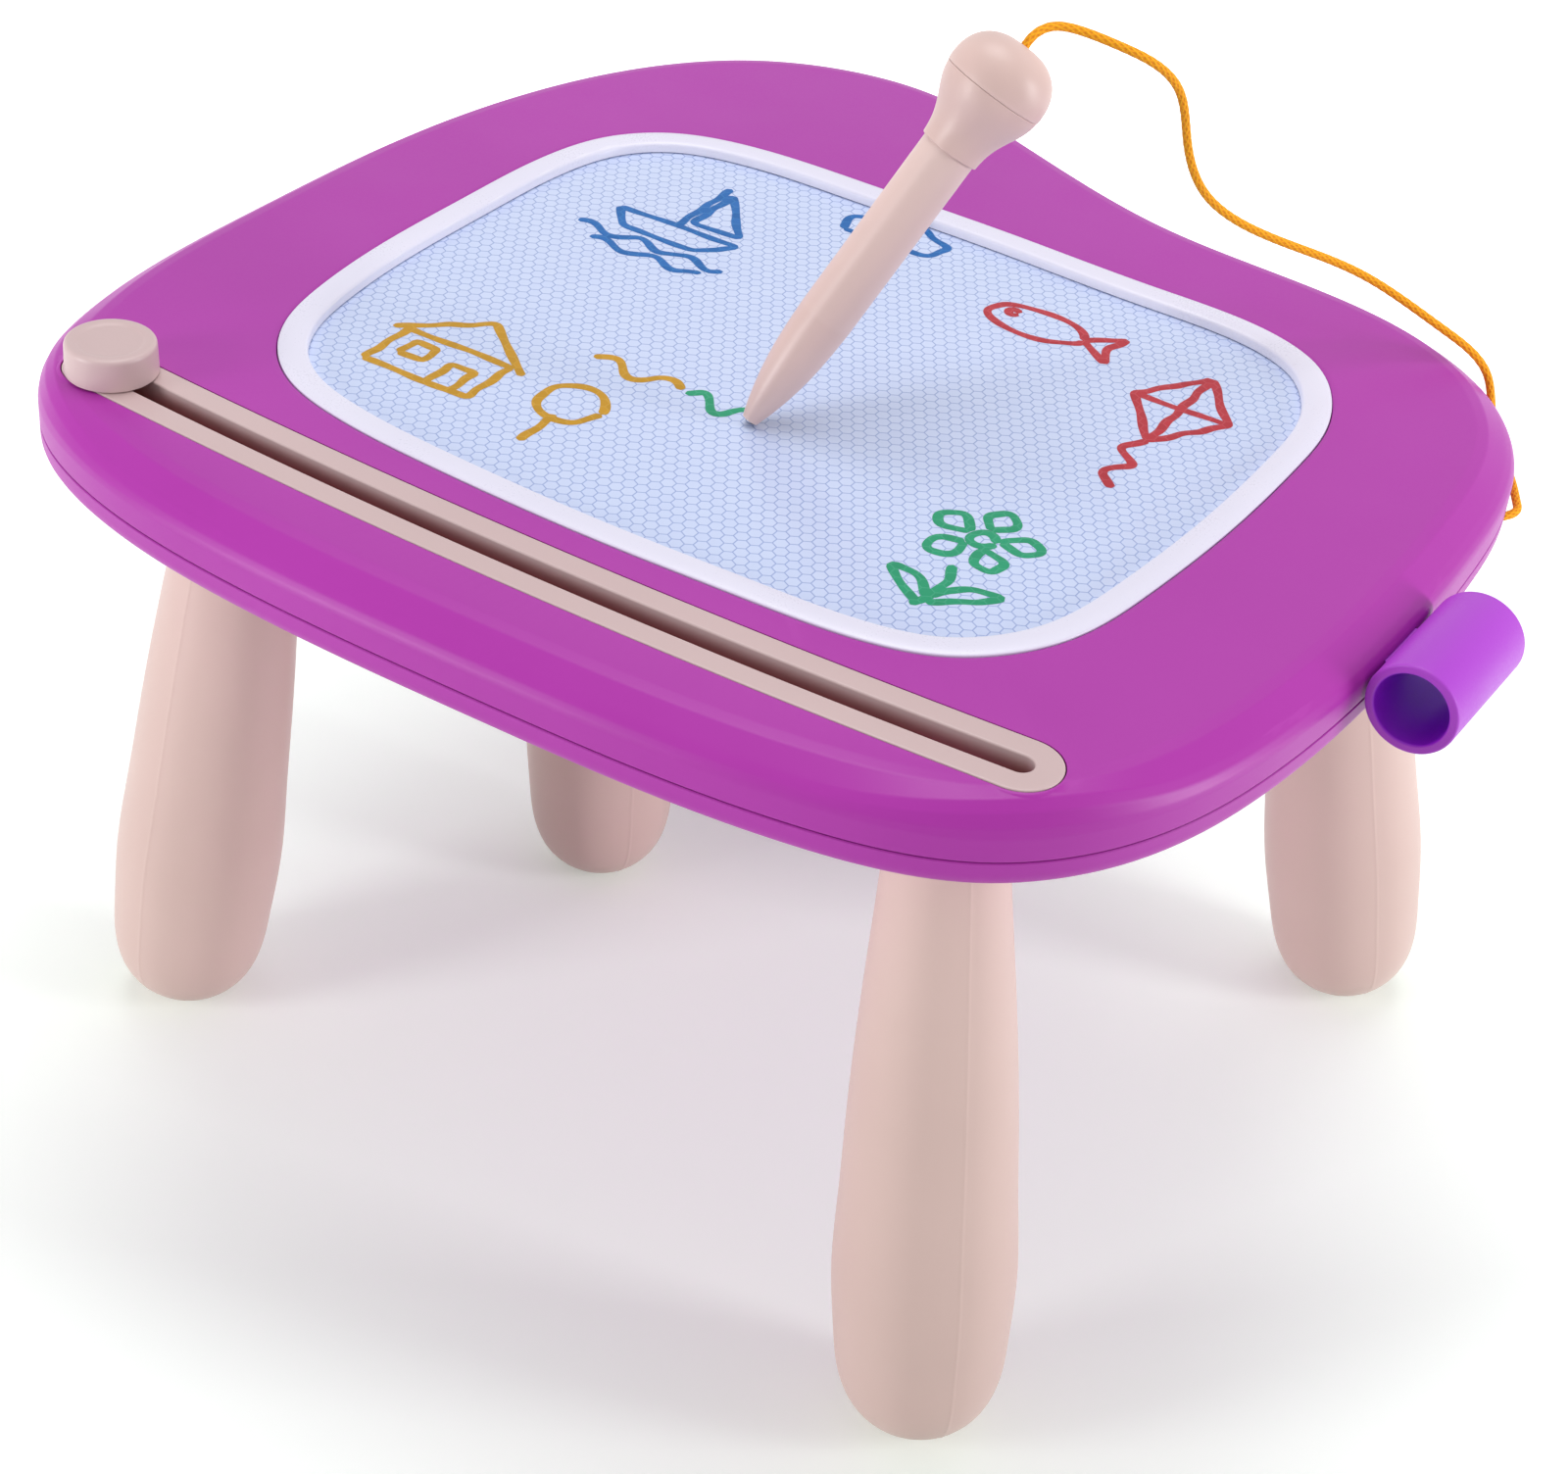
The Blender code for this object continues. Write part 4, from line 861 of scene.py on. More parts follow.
FILM = CellFinish(
    Slot.FILM, (204, 216, 247), (194, 207, 243), (255, 255, 255),
    highlight_amount=0.0, smooth=0.16, rough=0.26, bump=0.12, coat=0.2,
)
CELLS = CellFinish(
    Slot.CELLS, (214, 220, 236), (204, 211, 230), (255, 255, 255),
    highlight_amount=0.0, smooth=0.4, rough=0.55, bump=0.3,
)
YARN = BraidFinish(
    Slot.CORD, (255, 183, 6), (255, 169, 3), (230, 128, 3),
    highlight_amount=0.0, smooth=0.72, rough=0.92, bump=0.4,
)


class Ink(Enum):
    """The colours that the screen's zones draw in."""

    BLUE = (4, 102, 180)
    RED = (186, 42, 56)
    OCHRE = (202, 148, 18)
    GREEN = (30, 156, 112)

    def finish(self) -> CellFinish:
        """The drawn line: dark liquid in the cells, with their walls a little paler.

        Returns:
            The finish, in the film's slot.
        """
        pale = tuple(int(level + PALER * (255 - level)) for level in self.value)
        deep = tuple(int(DEEPER * level) for level in self.value)
        return CellFinish(
            Slot.FILM, self.value, deep, pale,
            highlight_amount=0.0, smooth=0.3, rough=0.4, bump=0.1, specular=0.2,
            name=f"drawn_line_{self.name.lower()}", wall=pale, wall_amount=0.35, change=0.8,
        )


# ---------------------------------------------------------------- the board's plan


@dataclass
class Plan:
    """The board's outline and the screen's, seen from above, as rings of matching points."""

    width: float = 0.3832
    depth: float = 0.376
    setover: float = 0.0011
    setback: float = -0.0005
    count: int = 360
    screen_width: float = 0.278
    screen_depth: float = 0.2308
    screen_setback: float = -0.0152
    outline_shares: tuple = (
        (-1.0, -0.156), (-0.984, 0.182), (-0.93, 0.472), (-0.835, 0.712), (-0.69, 0.893),
        (-0.5, 0.988), (-0.331, 0.998), (-0.112, 0.922), (0.056, 0.845), (0.243, 0.78),
        (0.478, 0.75), (0.688, 0.707), (0.848, 0.61), (0.962, 0.427), (1.0, 0.152),
        (0.994, -0.215), (0.959, -0.496), (0.877, -0.741), (0.734, -0.901), (0.508, -0.977),
        (0.044, -1.0), (-0.401, -0.982), (-0.669, -0.93), (-0.872, -0.812), (-0.969, -0.616),
    )
    screen_shares: tuple = (
        (1.0, 0.35), (0.992, 0.53), (0.951, 0.70), (0.865, 0.848), (0.732, 0.932), (0.432, 0.965),
        (0.06, 0.99), (-0.324, 1.0), (-0.65, 0.985), (-0.806, 0.92), (-0.917, 0.778),
        (-0.967, 0.59), (-0.988, 0.216), (-0.993, -0.123), (-0.973, -0.455), (-0.942, -0.62),
        (-0.872, -0.77), (-0.765, -0.875), (-0.62, -0.935), (-0.35, -0.977), (0.06, -1.0),
        (0.36, -0.995), (0.604, -0.976), (0.73, -0.929), (0.83, -0.834), (0.90, -0.707),
        (0.959, -0.413), (0.986, -0.123),
    )
    centre: Points = field(init=False)
    edge: Points = field(init=False)
    edge_normals: Points = field(init=False)
    opening: Points = field(init=False)
    opening_normals: Points = field(init=False)
    bearings: Points = field(init=False)

    def __post_init__(self) -> None:
        """Work out both outlines, and each outline point's bearing from the screen's middle."""
        half = np.array([self.width, self.depth]) / 2
        self.edge = np.array(self.outline_shares) * half + np.array([self.setover, self.setback])
        self.edge = smooth_curve(self.edge, True, self.count)
        self.edge_normals = outward(self.edge)
        half = np.array([self.screen_width, self.screen_depth]) / 2
        self.centre = np.array([0.0, self.screen_setback])
        self.opening = np.array(self.screen_shares) * half + self.centre
        self.opening = smooth_curve(self.opening, True, 2 * self.count)
        self.opening_normals = outward(self.opening)
        self.bearings = bearing(self.edge - self.centre)

    def rim_ring(self, inset: float, drop: float) -> Points:
        """A ring this far in from the outline and this far below the top."""
        return at_height(self.edge - inset * self.edge_normals, -drop)

    def screen_ring(self, spread: float, drop: float) -> Points:
        """A ring round the screen's opening, with a point on each outline point's ray.

        Args:
            spread: How far out from the opening it lies.
            drop: How far below the top it lies.

        Returns:
            The ring.
        """
        away = self.opening + spread * self.opening_normals - self.centre
        turns = bearing(away)
        order = np.argsort(turns)
        length = np.linalg.norm(away, axis=1)[order]
        reach = np.interp(self.bearings, turns[order], length, period=FULL_TURN)
        return at_height(self.centre + reach[:, None] * around(self.bearings), -drop)

    def edge_place(self, share: float, inset: float) -> tuple[Points, Points]:
        """A plan point near the outline.

        Args:
            share: The share of the way round.
            inset: How far in from the outline it lies.

        Returns:
            The point and the outline's outward normal there.
        """
        spot = share * self.count
        low = int(spot) % self.count
        high = (low + 1) % self.count
        part = spot - int(spot)
        point = (1 - part) * self.edge[low] + part * self.edge[high]
        normal = (1 - part) * self.edge_normals[low] + part * self.edge_normals[high]
        return point - inset * normal, normal / np.linalg.norm(normal)


@dataclass
class TrackPath:
    """The eraser's arc about a far centre behind the board."""

    radius: float = 2.0
    setover: float = 0.045
    setback: float = -0.1515
    rest: float = -5.53757
    start: float = -5.645
    end: float = 2.7125
    half_width: float = 0.0109
    end_gap: float = 0.0004
    side_steps: int = 72
    end_steps: int = 24

    def arc(self, radius: float, turns: Points) -> Points:
        """Plan points of an arc about the far centre: centre + (r sin a, -r cos a)."""
        centre = np.array([self.setover, self.setback + self.radius])
        return centre + radius * to_right(around(turns))

    def place_at(self, degrees: float) -> Points:
        """The track's middle at an angle."""
        return self.arc(self.radius, np.radians([degrees]))[0]

    def ring(self, half_width: float, drop: float) -> Points:
        """A closed band along the track: two arcs joined by half a circle at each end.

        Args:
            half_width: Half the band's width.
            drop: How far below the top it lies.

        Returns:
            The ring.
        """
        slack = math.degrees(self.end_gap / self.radius)
        low, high = math.radians(self.start - slack), math.radians(self.end + slack)
        sweep = np.linspace(low, high, self.side_steps)
        half_turn = np.linspace(QUARTER_TURN, -QUARTER_TURN, self.end_steps)[1:-1]
        ends = [
            self.arc(self.radius, np.array([turn])) + half_width * around(half_turn + turn + away)
            for turn, away in ((high, 0), (low, -math.pi))
        ]
        near, far = (self.arc(self.radius + way * half_width, sweep[::-way]) for way in (-1, 1))
        return at_height(np.vstack([near, ends[0], far, ends[1]]), -drop)


plan = Plan()
track_path = TrackPath()


# ---------------------------------------------------------------- the legs


@dataclass
class Leg:
    """One hollow club leg with its plug, on its own slanted axis."""

    body: Body
    foot_share: tuple[float, float]
    top_share: tuple[float, float]
    parting_turn: float
    ball_radius: float = 0.0236
    foot_turns: tuple = (-80, -66, -54, -42, -29, -16)
    tip_radius: float = 0.0035
    tip_rise: float = 0.00026
    widest: float = 0.026
    flat_depth: float = 0.0005
    wall: float = 0.002
    shares: tuple = (
        (0.06, 0.962), (0.19, 1.0), (0.33, 0.952), (0.47, 0.90), (0.61, 0.837), (0.75, 0.755),
        (0.88, 0.67), (1.0, 0.596),
    )
    profile_steps: int = 90
    wall_steps: tuple[int, int, int] = (8, -2, 6)
    shoulder: float = 0.0006
    plug_radius: float = 0.011
    plug_length: float = 0.0155
    plug_edge: float = 0.0004
    soften: float = 0.0007
    socket_reach: float = 0.008
    parting_height: float = 0.00015
    parting_width: float = 0.0005
    parting_reach: float = 2.2
    parting_steps: int = 9
    side_steps: int = 46
    rod_sides: int = 64

    def axis(self) -> tuple[Vector, Vector, Vector]:
        """The ball's centre, the leg's top at the underside, and its upward direction."""
        half = np.array([plan.width, plan.depth]) / 2
        rise = self.ball_radius - self.flat_depth
        ball = Vector((*(half * self.foot_share), rise - BOARD_HEIGHT))
        crown = Vector((*(half * self.top_share), -CASE_THICKNESS))
        return ball, crown, (crown - ball).normalized()

    def slanted_rod(self, radius: float, rise: float, roof_drop: float) -> Rows:
        """A rod along the leg's axis, square at its bottom and level at its roof.

        Args:
            radius: Its radius.
            rise: How far above the case's underside its bottom lies.
            roof_drop: How far below the board's top its roof lies.

        Returns:
            The two rings.
        """
        _, crown, axis = self.axis()
        ring = turned_rows([(radius, 0)], even_angles(self.rod_sides))
        base = moved(ring, Matrix.Translation(crown + axis * (rise / axis.z)) @ turn_to(axis))[0]
        climb = (-roof_drop - base[:, 2]) / axis.z
        return [base, base + climb[:, None] * np.array(axis)]

    def angles(self) -> Points:
        """Angles round the leg, close together at the two parting lines."""
        reach = self.parting_reach * self.parting_width / self.widest
        near = np.linspace(-reach, reach, self.parting_steps)
        rest = np.linspace(reach, math.pi - reach, self.side_steps)[1:-1]
        return np.concatenate([near, rest, near + math.pi, rest + math.pi])

    def profile(self, span: float) -> tuple[Points, int]:
        """The leg's section: its skin up to the shoulder, the plug, and the inside back down.

        Args:
            span: The distance from the ball's centre to the shoulder.

        Returns:
            Radii and heights above the shoulder, and how many of them are on the skin.
        """
        low = -span - self.ball_radius
        foot = self.ball_radius * around(np.radians(self.foot_turns)) - (0, span)
        body = np.array([(self.widest * wide, span * (share - 1)) for share, wide in self.shares])
        outer = smooth_curve(np.vstack([foot, body]), False, self.profile_steps)
        outer = np.vstack([[(0.0, low), (self.tip_radius, low + self.tip_rise)], outer])
        plug, bore = self.plug_radius, self.plug_radius - self.wall
        top = rounded(np.array([
            body[-1], body[-1] - (self.shoulder, 0.0), (plug + self.plug_edge, 0.0),
            (plug, self.plug_edge), (plug, self.plug_length), (bore, self.plug_length), (bore, 0.0),
        ]), self.soften, 4)[1:]
        inner = outer[::-1][slice(*self.wall_steps)] - (self.wall, 0)
        inner = inner[(inner[:, 0] > self.wall) & (inner[:, 1] > low + 2 * self.wall)]
        return np.vstack([outer, top, inner, [(0.0, low + self.wall)]]), len(outer)

    def make(self) -> None:
        """The leg: a smooth profile turned about its axis, with a fine raised parting line.

        The radius at height h and angle a is R(h) plus a narrow bell, p exp(-(s/w)^2), of the
        distance s along the skin from the nearer parting line. The foot is flat on the floor.
        """
        ball, crown, axis = self.axis()
        shoulder = crown - axis * ((self.socket_reach + FIT_GAP) / axis.z)
        profile, skin = self.profile((shoulder - ball).length)
        angles = self.angles()
        rows = turned_rows(profile, angles)
        gap = (angles + QUARTER_TURN) % math.pi - QUARTER_TURN
        for row, radius in list(zip(rows, profile[:, 0]))[2:skin]:
            bell = self.parting_height * np.exp(-((gap * radius / self.parting_width) ** 2))
            row[:, :2] *= (1 + bell / radius)[:, None]
        spin = Matrix.Rotation(math.radians(self.parting_turn), 4, "Z")
        rows = moved(rows, Matrix.Translation(shoulder) @ turn_to(axis) @ spin)
        for row in rows:
            row[:, 2] = np.maximum(row[:, 2], -BOARD_HEIGHT)
        node = self.body.name.lower()
        add_piece(f"fine_{node}", skinned(f"fine_{node}", [rows]), PINK, self.body, [node])


# ---------------------------------------------------------------- the case


@dataclass
class Screws:
    """The pan-head screws that close the case from below, and the columns that take them."""

    shares: tuple = (0.035, 0.175, 0.30, 0.43, 0.565, 0.69, 0.80, 0.93)
    inset: float = 0.0145
    column_top: float = 0.0198
    column_radius: float = 0.0055
    column_sink: float = 0.0006
    recess_radius: float = 0.0038
    recess_top: float = 0.0216
    radius: float = 0.0015
    length: float = 0.0115
    point_radius: float = 0.0004
    point_length: float = 0.0012
    head_radius: float = 0.0032
    head_height: float = 0.0022
    head_flat: float = 0.55
    head_slope: float = 0.0009
    soften: float = 0.0005
    cross: tuple[float, float] = (0.0017, 0.00045)
    cross_rise: float = 0.001
    cross_depth: float = 0.0011
    cross_taper: float = 0.7
    turn_step: float = 37.0
    sides: int = 40

    def places(self) -> list[Points]:
        """Plan points of the screws."""
        return [plan.edge_place(share, self.inset)[0] for share in self.shares]

    def rods(self, radius: float, low: float, high: float) -> bpy.types.Mesh:
        """Upright round helper rods at the screws' places, between two drops."""
        ends = [[Vector((*spot, -drop)) for drop in (low, high)] for spot in self.places()]
        return skinned("screw_rods", [rod_rows(*pair, radius) for pair in ends])

    def make(self) -> None:
        """The screws: one mesh, turned and cut once, then set and turned at each place."""
        top = self.recess_top + FIT_GAP
        low, tip = top + self.head_height, top - self.length
        head = rounded(np.array([
            (0.0, low), (self.head_radius * self.head_flat, low),
            (self.head_radius, low - self.head_slope), (self.head_radius, top), (self.radius, top),
        ]), self.soften, 4)
        shank = [(self.radius, tip + self.point_length), (self.point_radius, tip), (0.0, tip)]
        profile = np.vstack([head, shank]) * (1, -1)
        under, over = -low - self.cross_rise, -low + self.cross_depth
        bars = [
            block_rows((-x, -y, under), (x, y, over), self.cross_taper)
            for x, y in (self.cross, self.cross[::-1])
        ]
        screw = skinned("screw", [turned_rows(profile, even_angles(self.sides))])
        screw = carved(screw, [(skinned("cross_bar", [bar]), Cut.TAKE) for bar in bars])
        for number, spot in enumerate(self.places(), start=1):
            name = f"fine_screw_{number}"
            mesh = screw.copy()
            mesh.name = name
            turn = Matrix.Rotation(math.radians(self.turn_step * number), 4, "Z")
            mesh.transform(Matrix.Translation((*spot, 0)) @ turn)
            add_piece(name, mesh, STEEL, Body.BOARD, [f"case_screw_{number}"])
        bpy.data.meshes.remove(screw)


@dataclass
class PenTube:
    """The open tube for the pen beside the case, with the flat neck that snaps into it."""

    share: float = 0.5288
    drop: float = 0.012
    clearance: float = 0.0004
    radius: float = 0.013
    bore: float = 0.01025
    half: float = 0.0225
    edge: float = 0.0009
    edge_steps: int = 7
    neck_half_width: float = 0.010
    neck_half_height: float = 0.0025
    neck_lift: float = 0.0001
    neck_reach: float = 0.022
    neck_root: float = 0.0115
    barb_gap: float = 0.0009
    barb_width: float = 0.0012
    # Painted shade on the bore's wall: its colour, and the distances past the bore's radius where
    # it starts and where it is full.
    inside: Rgb = (158, 30, 216)
    painted_shade_reach: tuple[float, float] = (0.0007, 0.0001)

    def matrix(self) -> Matrix:
        """The tube's frame: X away from the rim that it lies against, Y along it."""
        centre, normal = plan.edge_place(self.share, -self.radius - self.clearance)
        spin = Matrix.Rotation(math.atan2(normal[1], normal[0]), 4, "Z")
        return Matrix.Translation((*centre, -self.drop)) @ spin

    def slot(self) -> bpy.types.Mesh:
        """The helper block that cuts the neck's slot into the case."""
        wide, tall = self.neck_half_width + FIT_GAP, self.neck_half_height + FIT_GAP
        near = (-self.neck_reach - OVERRUN, -wide, self.neck_lift - tall)
        rows = block_rows(near, (0.0, wide, self.neck_lift + tall))
        return skinned("neck_slot", [moved(rows, self.matrix())])

    def make(self) -> None:
        """The tube: a section with rounded rims turned round its bore, and its barbed neck."""
        section = rounded(np.array([
            (self.bore, 0.0), (self.bore, -self.half), (self.radius, -self.half),
            (self.radius, self.half), (self.bore, self.half), (self.bore, 0.0),
        ]), self.edge, self.edge_steps)[:-1]
        here = self.matrix()
        rows = turned_rows(section, even_angles(FINE_SIDES))
        rows = moved(rows, here @ Matrix.Rotation(-QUARTER_TURN, 4, "X"))
        seat = -self.radius - self.clearance - CASE_WALL - self.barb_gap
        wide = self.neck_half_width
        side = np.array([
            (-self.neck_root, wide), (seat, wide),
            (seat, wide + self.barb_width), (-self.neck_reach, wide),
        ])
        outline = np.vstack([side, side[::-1] * (1, -1)])
        neck = [at_height(outline, self.neck_lift + way * self.neck_half_height) for way in (-1, 1)]
        tube = skinned("pen_tube", [rows], looped=True)
        tube = carved(tube, [(skinned("tube_neck", [moved(neck, here)]), Cut.JOIN)])
        centre = tuple(np.array(here.translation) + BOARD_ORIGIN)
        # The bore's wall is painted darker as shade.
        reach = (self.bore + part for part in self.painted_shade_reach)
        painted_shade = PaintedShade(self.inside, centre, (1, 0, 1), *reach, here.to_euler().z)
        add_piece("pen_tube", tube, replace(BRIGHT, painted_shade=painted_shade), Body.BOARD, ["pen_holder"])


@dataclass
class Case:
    """The two shells of the case, as sections carried round the board's outline."""

    thickness: float = CASE_THICKNESS
    wall: float = CASE_WALL
    seam: float = 0.0165
    rim_width: float = 0.013
    rim_fall: float = 0.0095
    rim_shares: tuple = (
        (1.0, 0.0), (0.73, 0.07), (0.27, 0.50), (0.115, 0.68), (0.03, 0.85), (0.0, 1.0),
    )
    crease: float = 0.0006
    full_shares: tuple = (
        (1.0, 0.0), (0.73, 0.0), (0.40, 0.035), (0.19, 0.30), (0.05, 0.68), (0.0, 1.0),
    )
    full_reach: float = 0.024
    support: float = 0.0016
    lip_round: float = 0.0003
    foot_round: float = 0.005
    foot_steps: tuple[int, int] = (9, 4)
    floor_edge: float = 0.016
    tongue_rise: float = 0.0014
    tongue_thickness: float = 0.0016
    tongue_root: float = 0.0011
    tongue_slope: float = 0.001
    ledge_top: float = 0.0062
    ledge_bottom: float = 0.0074
    ledge_width: float = 0.006
    opening_wall: float = 0.002
    opening_round: float = 0.0004
    round_share: float = 0.3
    pad_spread: float = 0.0039
    pad_drop: float = 0.006
    pad_shares: tuple = ((0.0, 0.02), (0.23, 0.025), (0.5, 0.2), (0.82, 0.55), (1.0, 1.0))
    pad_round: float = 0.0006
    pocket_floor: float = 0.0035
    passage: float = 0.0052
    socket_radius: float = 0.015
    socket_roof: float = 0.0126
    socket_play: float = 0.0016
    hole_share: float = 0.4514
    hole_turn: float = 39.5
    hole_drop: float = 0.020
    hole_depth: float = 0.0042
    hole_radius: float = 0.0016

    def rim_corners(self, shares: tuple) -> list[tuple[float, float]]:
        """Insets and drops of the rim's section, from shares of its width and fall."""
        return [(self.rim_width * inset, self.rim_fall * drop) for inset, drop in shares]

    def rim_rows(self) -> Rows:
        """The rim's fine section: the flat top, two soft creases and the rounded side.

        Near both ends of the eraser's track the section grows fuller, so that the track lies level
        with it. The two sections mix by a bell, exp(-(d/r)^2), of the distance d from the end.

        Returns:
            The rings, from the flat top down to the lip.
        """
        lip = self.seam - FIT_GAP / 2
        ends = [track_path.place_at(turn) for turn in (track_path.start, track_path.end)]
        gap = np.min([np.linalg.norm(plan.edge - end, axis=1) for end in ends], axis=0)
        gap = np.maximum(gap - track_path.half_width, 0)
        full = np.exp(-((gap / self.full_reach) ** 2))[:, None]
        sections = []
        for shares in (self.rim_shares, self.full_shares):
            corners = [
                (self.rim_width + self.support, 0.0), *self.rim_corners(shares),
                (0.0, lip - self.lip_round), (self.lip_round, lip), (self.wall, lip),
            ]
            line = rounded(np.array(corners), self.crease)
            sections.append([plan.rim_ring(*spot) for spot in line])
        return [(1 - full) * usual + full * fuller for usual, fuller in zip(*sections)]

    def make_top(self, tube: PenTube) -> None:
        """The upper shell: a loop of rings round its section, with the track's pad and cuts.

        Args:
            tube: The pen's tube, whose neck needs a slot.
        """
        outer = np.array(self.rim_corners(self.rim_shares))
        inner = (outer + self.wall * to_right(units(np.gradient(outer, axis=0))))[::2]
        edge, bulge = self.opening_round, self.opening_round * self.round_share
        first = [(0, self.ledge_top), (0, edge), (bulge, bulge), (edge, 0), (self.support, 0)]
        last = [
            (self.opening_wall, inner[0][1]), (self.opening_wall, self.ledge_bottom),
            (-self.ledge_width, self.ledge_bottom), (-self.ledge_width, self.ledge_top),
        ]
        rows = [plan.screen_ring(*spot) for spot in first] + self.rim_rows()
        rows += [plan.rim_ring(*spot) for spot in inner[::-1]]
        rows += [plan.screen_ring(*spot) for spot in last]
        shell = skinned("case_top", [rows], looped=True)
        half = track_path.half_width
        slope = np.array(self.pad_shares) * (self.pad_spread, self.pad_drop) + (half, 0)
        pad = [track_path.ring(*spot) for spot in rounded(slope, self.pad_round, 4)]
        jobs = [(skinned("track_pad", [pad]), Cut.JOIN)]
        for wide, deep in (
            (half + FIT_GAP, self.pocket_floor), (self.passage, self.pad_drop + OVERRUN),
        ):
            cut = [track_path.ring(wide, -OVERRUN), track_path.ring(wide, deep)]
            jobs.append((skinned("track_cut", [cut]), Cut.TAKE))
        shell = carved(shell, [*jobs, (tube.slot(), Cut.TAKE)])
        add_piece("case_top", shell, VIOLET, Body.BOARD, ["top_shell"])

    def quarter(self, radius: float, bottom: float, steps: int) -> list[tuple[float, float]]:
        """A quarter round from the underside up to the side: (R - r sin a, b - r + r cos a)."""
        turns = np.linspace(0, QUARTER_TURN, steps)
        inset = self.foot_round - radius * np.sin(turns)
        return list(zip(inset, bottom - radius + radius * np.cos(turns)))

    def make_bottom(self, legs: Sequence[Leg], screws: Screws) -> None:
        """The lower shell: side, floor, tongue, screw columns, slanted leg sockets and cord hole.

        Args:
            legs: The legs whose sockets it carries.
            screws: The screws that it takes.
        """
        seam = self.seam + FIT_GAP / 2
        tongue_out = self.wall + FIT_GAP
        tongue_in = tongue_out + self.tongue_thickness
        root, crest = seam + self.tongue_root, seam - self.tongue_rise
        floor_top, below = self.thickness - self.wall, self.thickness + OVERRUN
        column_root = floor_top + screws.column_sink
        section = [
            (self.floor_edge, self.thickness), (self.foot_round + self.support, self.thickness),
            *self.quarter(self.foot_round, self.thickness, self.foot_steps[0]),
            (0.0, seam + self.lip_round), (self.lip_round, seam), (tongue_out, seam),
            (tongue_out, crest), (tongue_in, crest), (tongue_in, root),
            (self.wall, root + self.tongue_slope),
            *self.quarter(self.foot_round - self.wall, floor_top, self.foot_steps[1])[::-1],
            (self.floor_edge, floor_top),
        ]
        roof, sockets, bores = self.socket_roof, [], []
        for leg in legs:
            reach, bore = -leg.socket_reach, leg.plug_radius + FIT_GAP
            sockets.append(leg.slanted_rod(self.socket_radius, reach, roof))
            bores.append(leg.slanted_rod(bore, reach - OVERRUN, roof + self.socket_play))
        mouth, out = self.cord_mouth()
        hole = rod_rows(mouth + out * OVERRUN, mouth - out * self.hole_depth, self.hole_radius)
        shell = carved(skinned("case_bottom", [[plan.rim_ring(*spot) for spot in section]]), [
            (screws.rods(screws.column_radius, column_root, screws.column_top), Cut.JOIN),
            (skinned("leg_sockets", sockets), Cut.JOIN),
            (skinned("leg_bores", bores), Cut.TAKE),
            (screws.rods(screws.recess_radius, below, screws.recess_top), Cut.TAKE),
            (screws.rods(screws.radius + FIT_GAP, below, screws.column_top - OVERRUN), Cut.TAKE),
            (skinned("cord_hole", [hole]), Cut.TAKE),
        ])
        add_piece("case_bottom", shell, VIOLET, Body.BOARD, ["bottom_shell"])

    def cord_mouth(self) -> tuple[Vector, Vector]:
        """Where the cord enters the lower shell's side, and the hole's outward direction."""
        point, normal = plan.edge_place(self.hole_share, 0)
        out = Matrix.Rotation(math.radians(self.hole_turn), 3, "Z") @ Vector((*normal, 0))
        return Vector((*point, -self.hole_drop)), out.normalized()


# ---------------------------------------------------------------- the screen


@dataclass(frozen=True)
class Motif:
    """Lines of one small drawing, in millimetres about its middle."""

    centre: tuple[float, float]
    lines: Sequence[Sequence[tuple[float, float]]]
    soft: float = 0.0
    closed: bool = False


def oval(x: float, y: float, wide: float, tall: float) -> list[tuple[float, float]]:
    """A round or oval line: (x + w cos a, y + t sin a) over one turn."""
    turn = np.linspace(0, FULL_TURN, LINE_POINTS)
    return list(zip(x + wide * np.cos(turn), y + tall * np.sin(turn)))


def wave(x: float, y: float, length: float, tall: float, count: float) -> list[tuple[float, float]]:
    """A wavy line: a sine of some turns along its length."""
    step = np.linspace(0, 1, 30)
    return list(zip(x + length * step, y + tall * np.sin(FULL_TURN * count * step)))


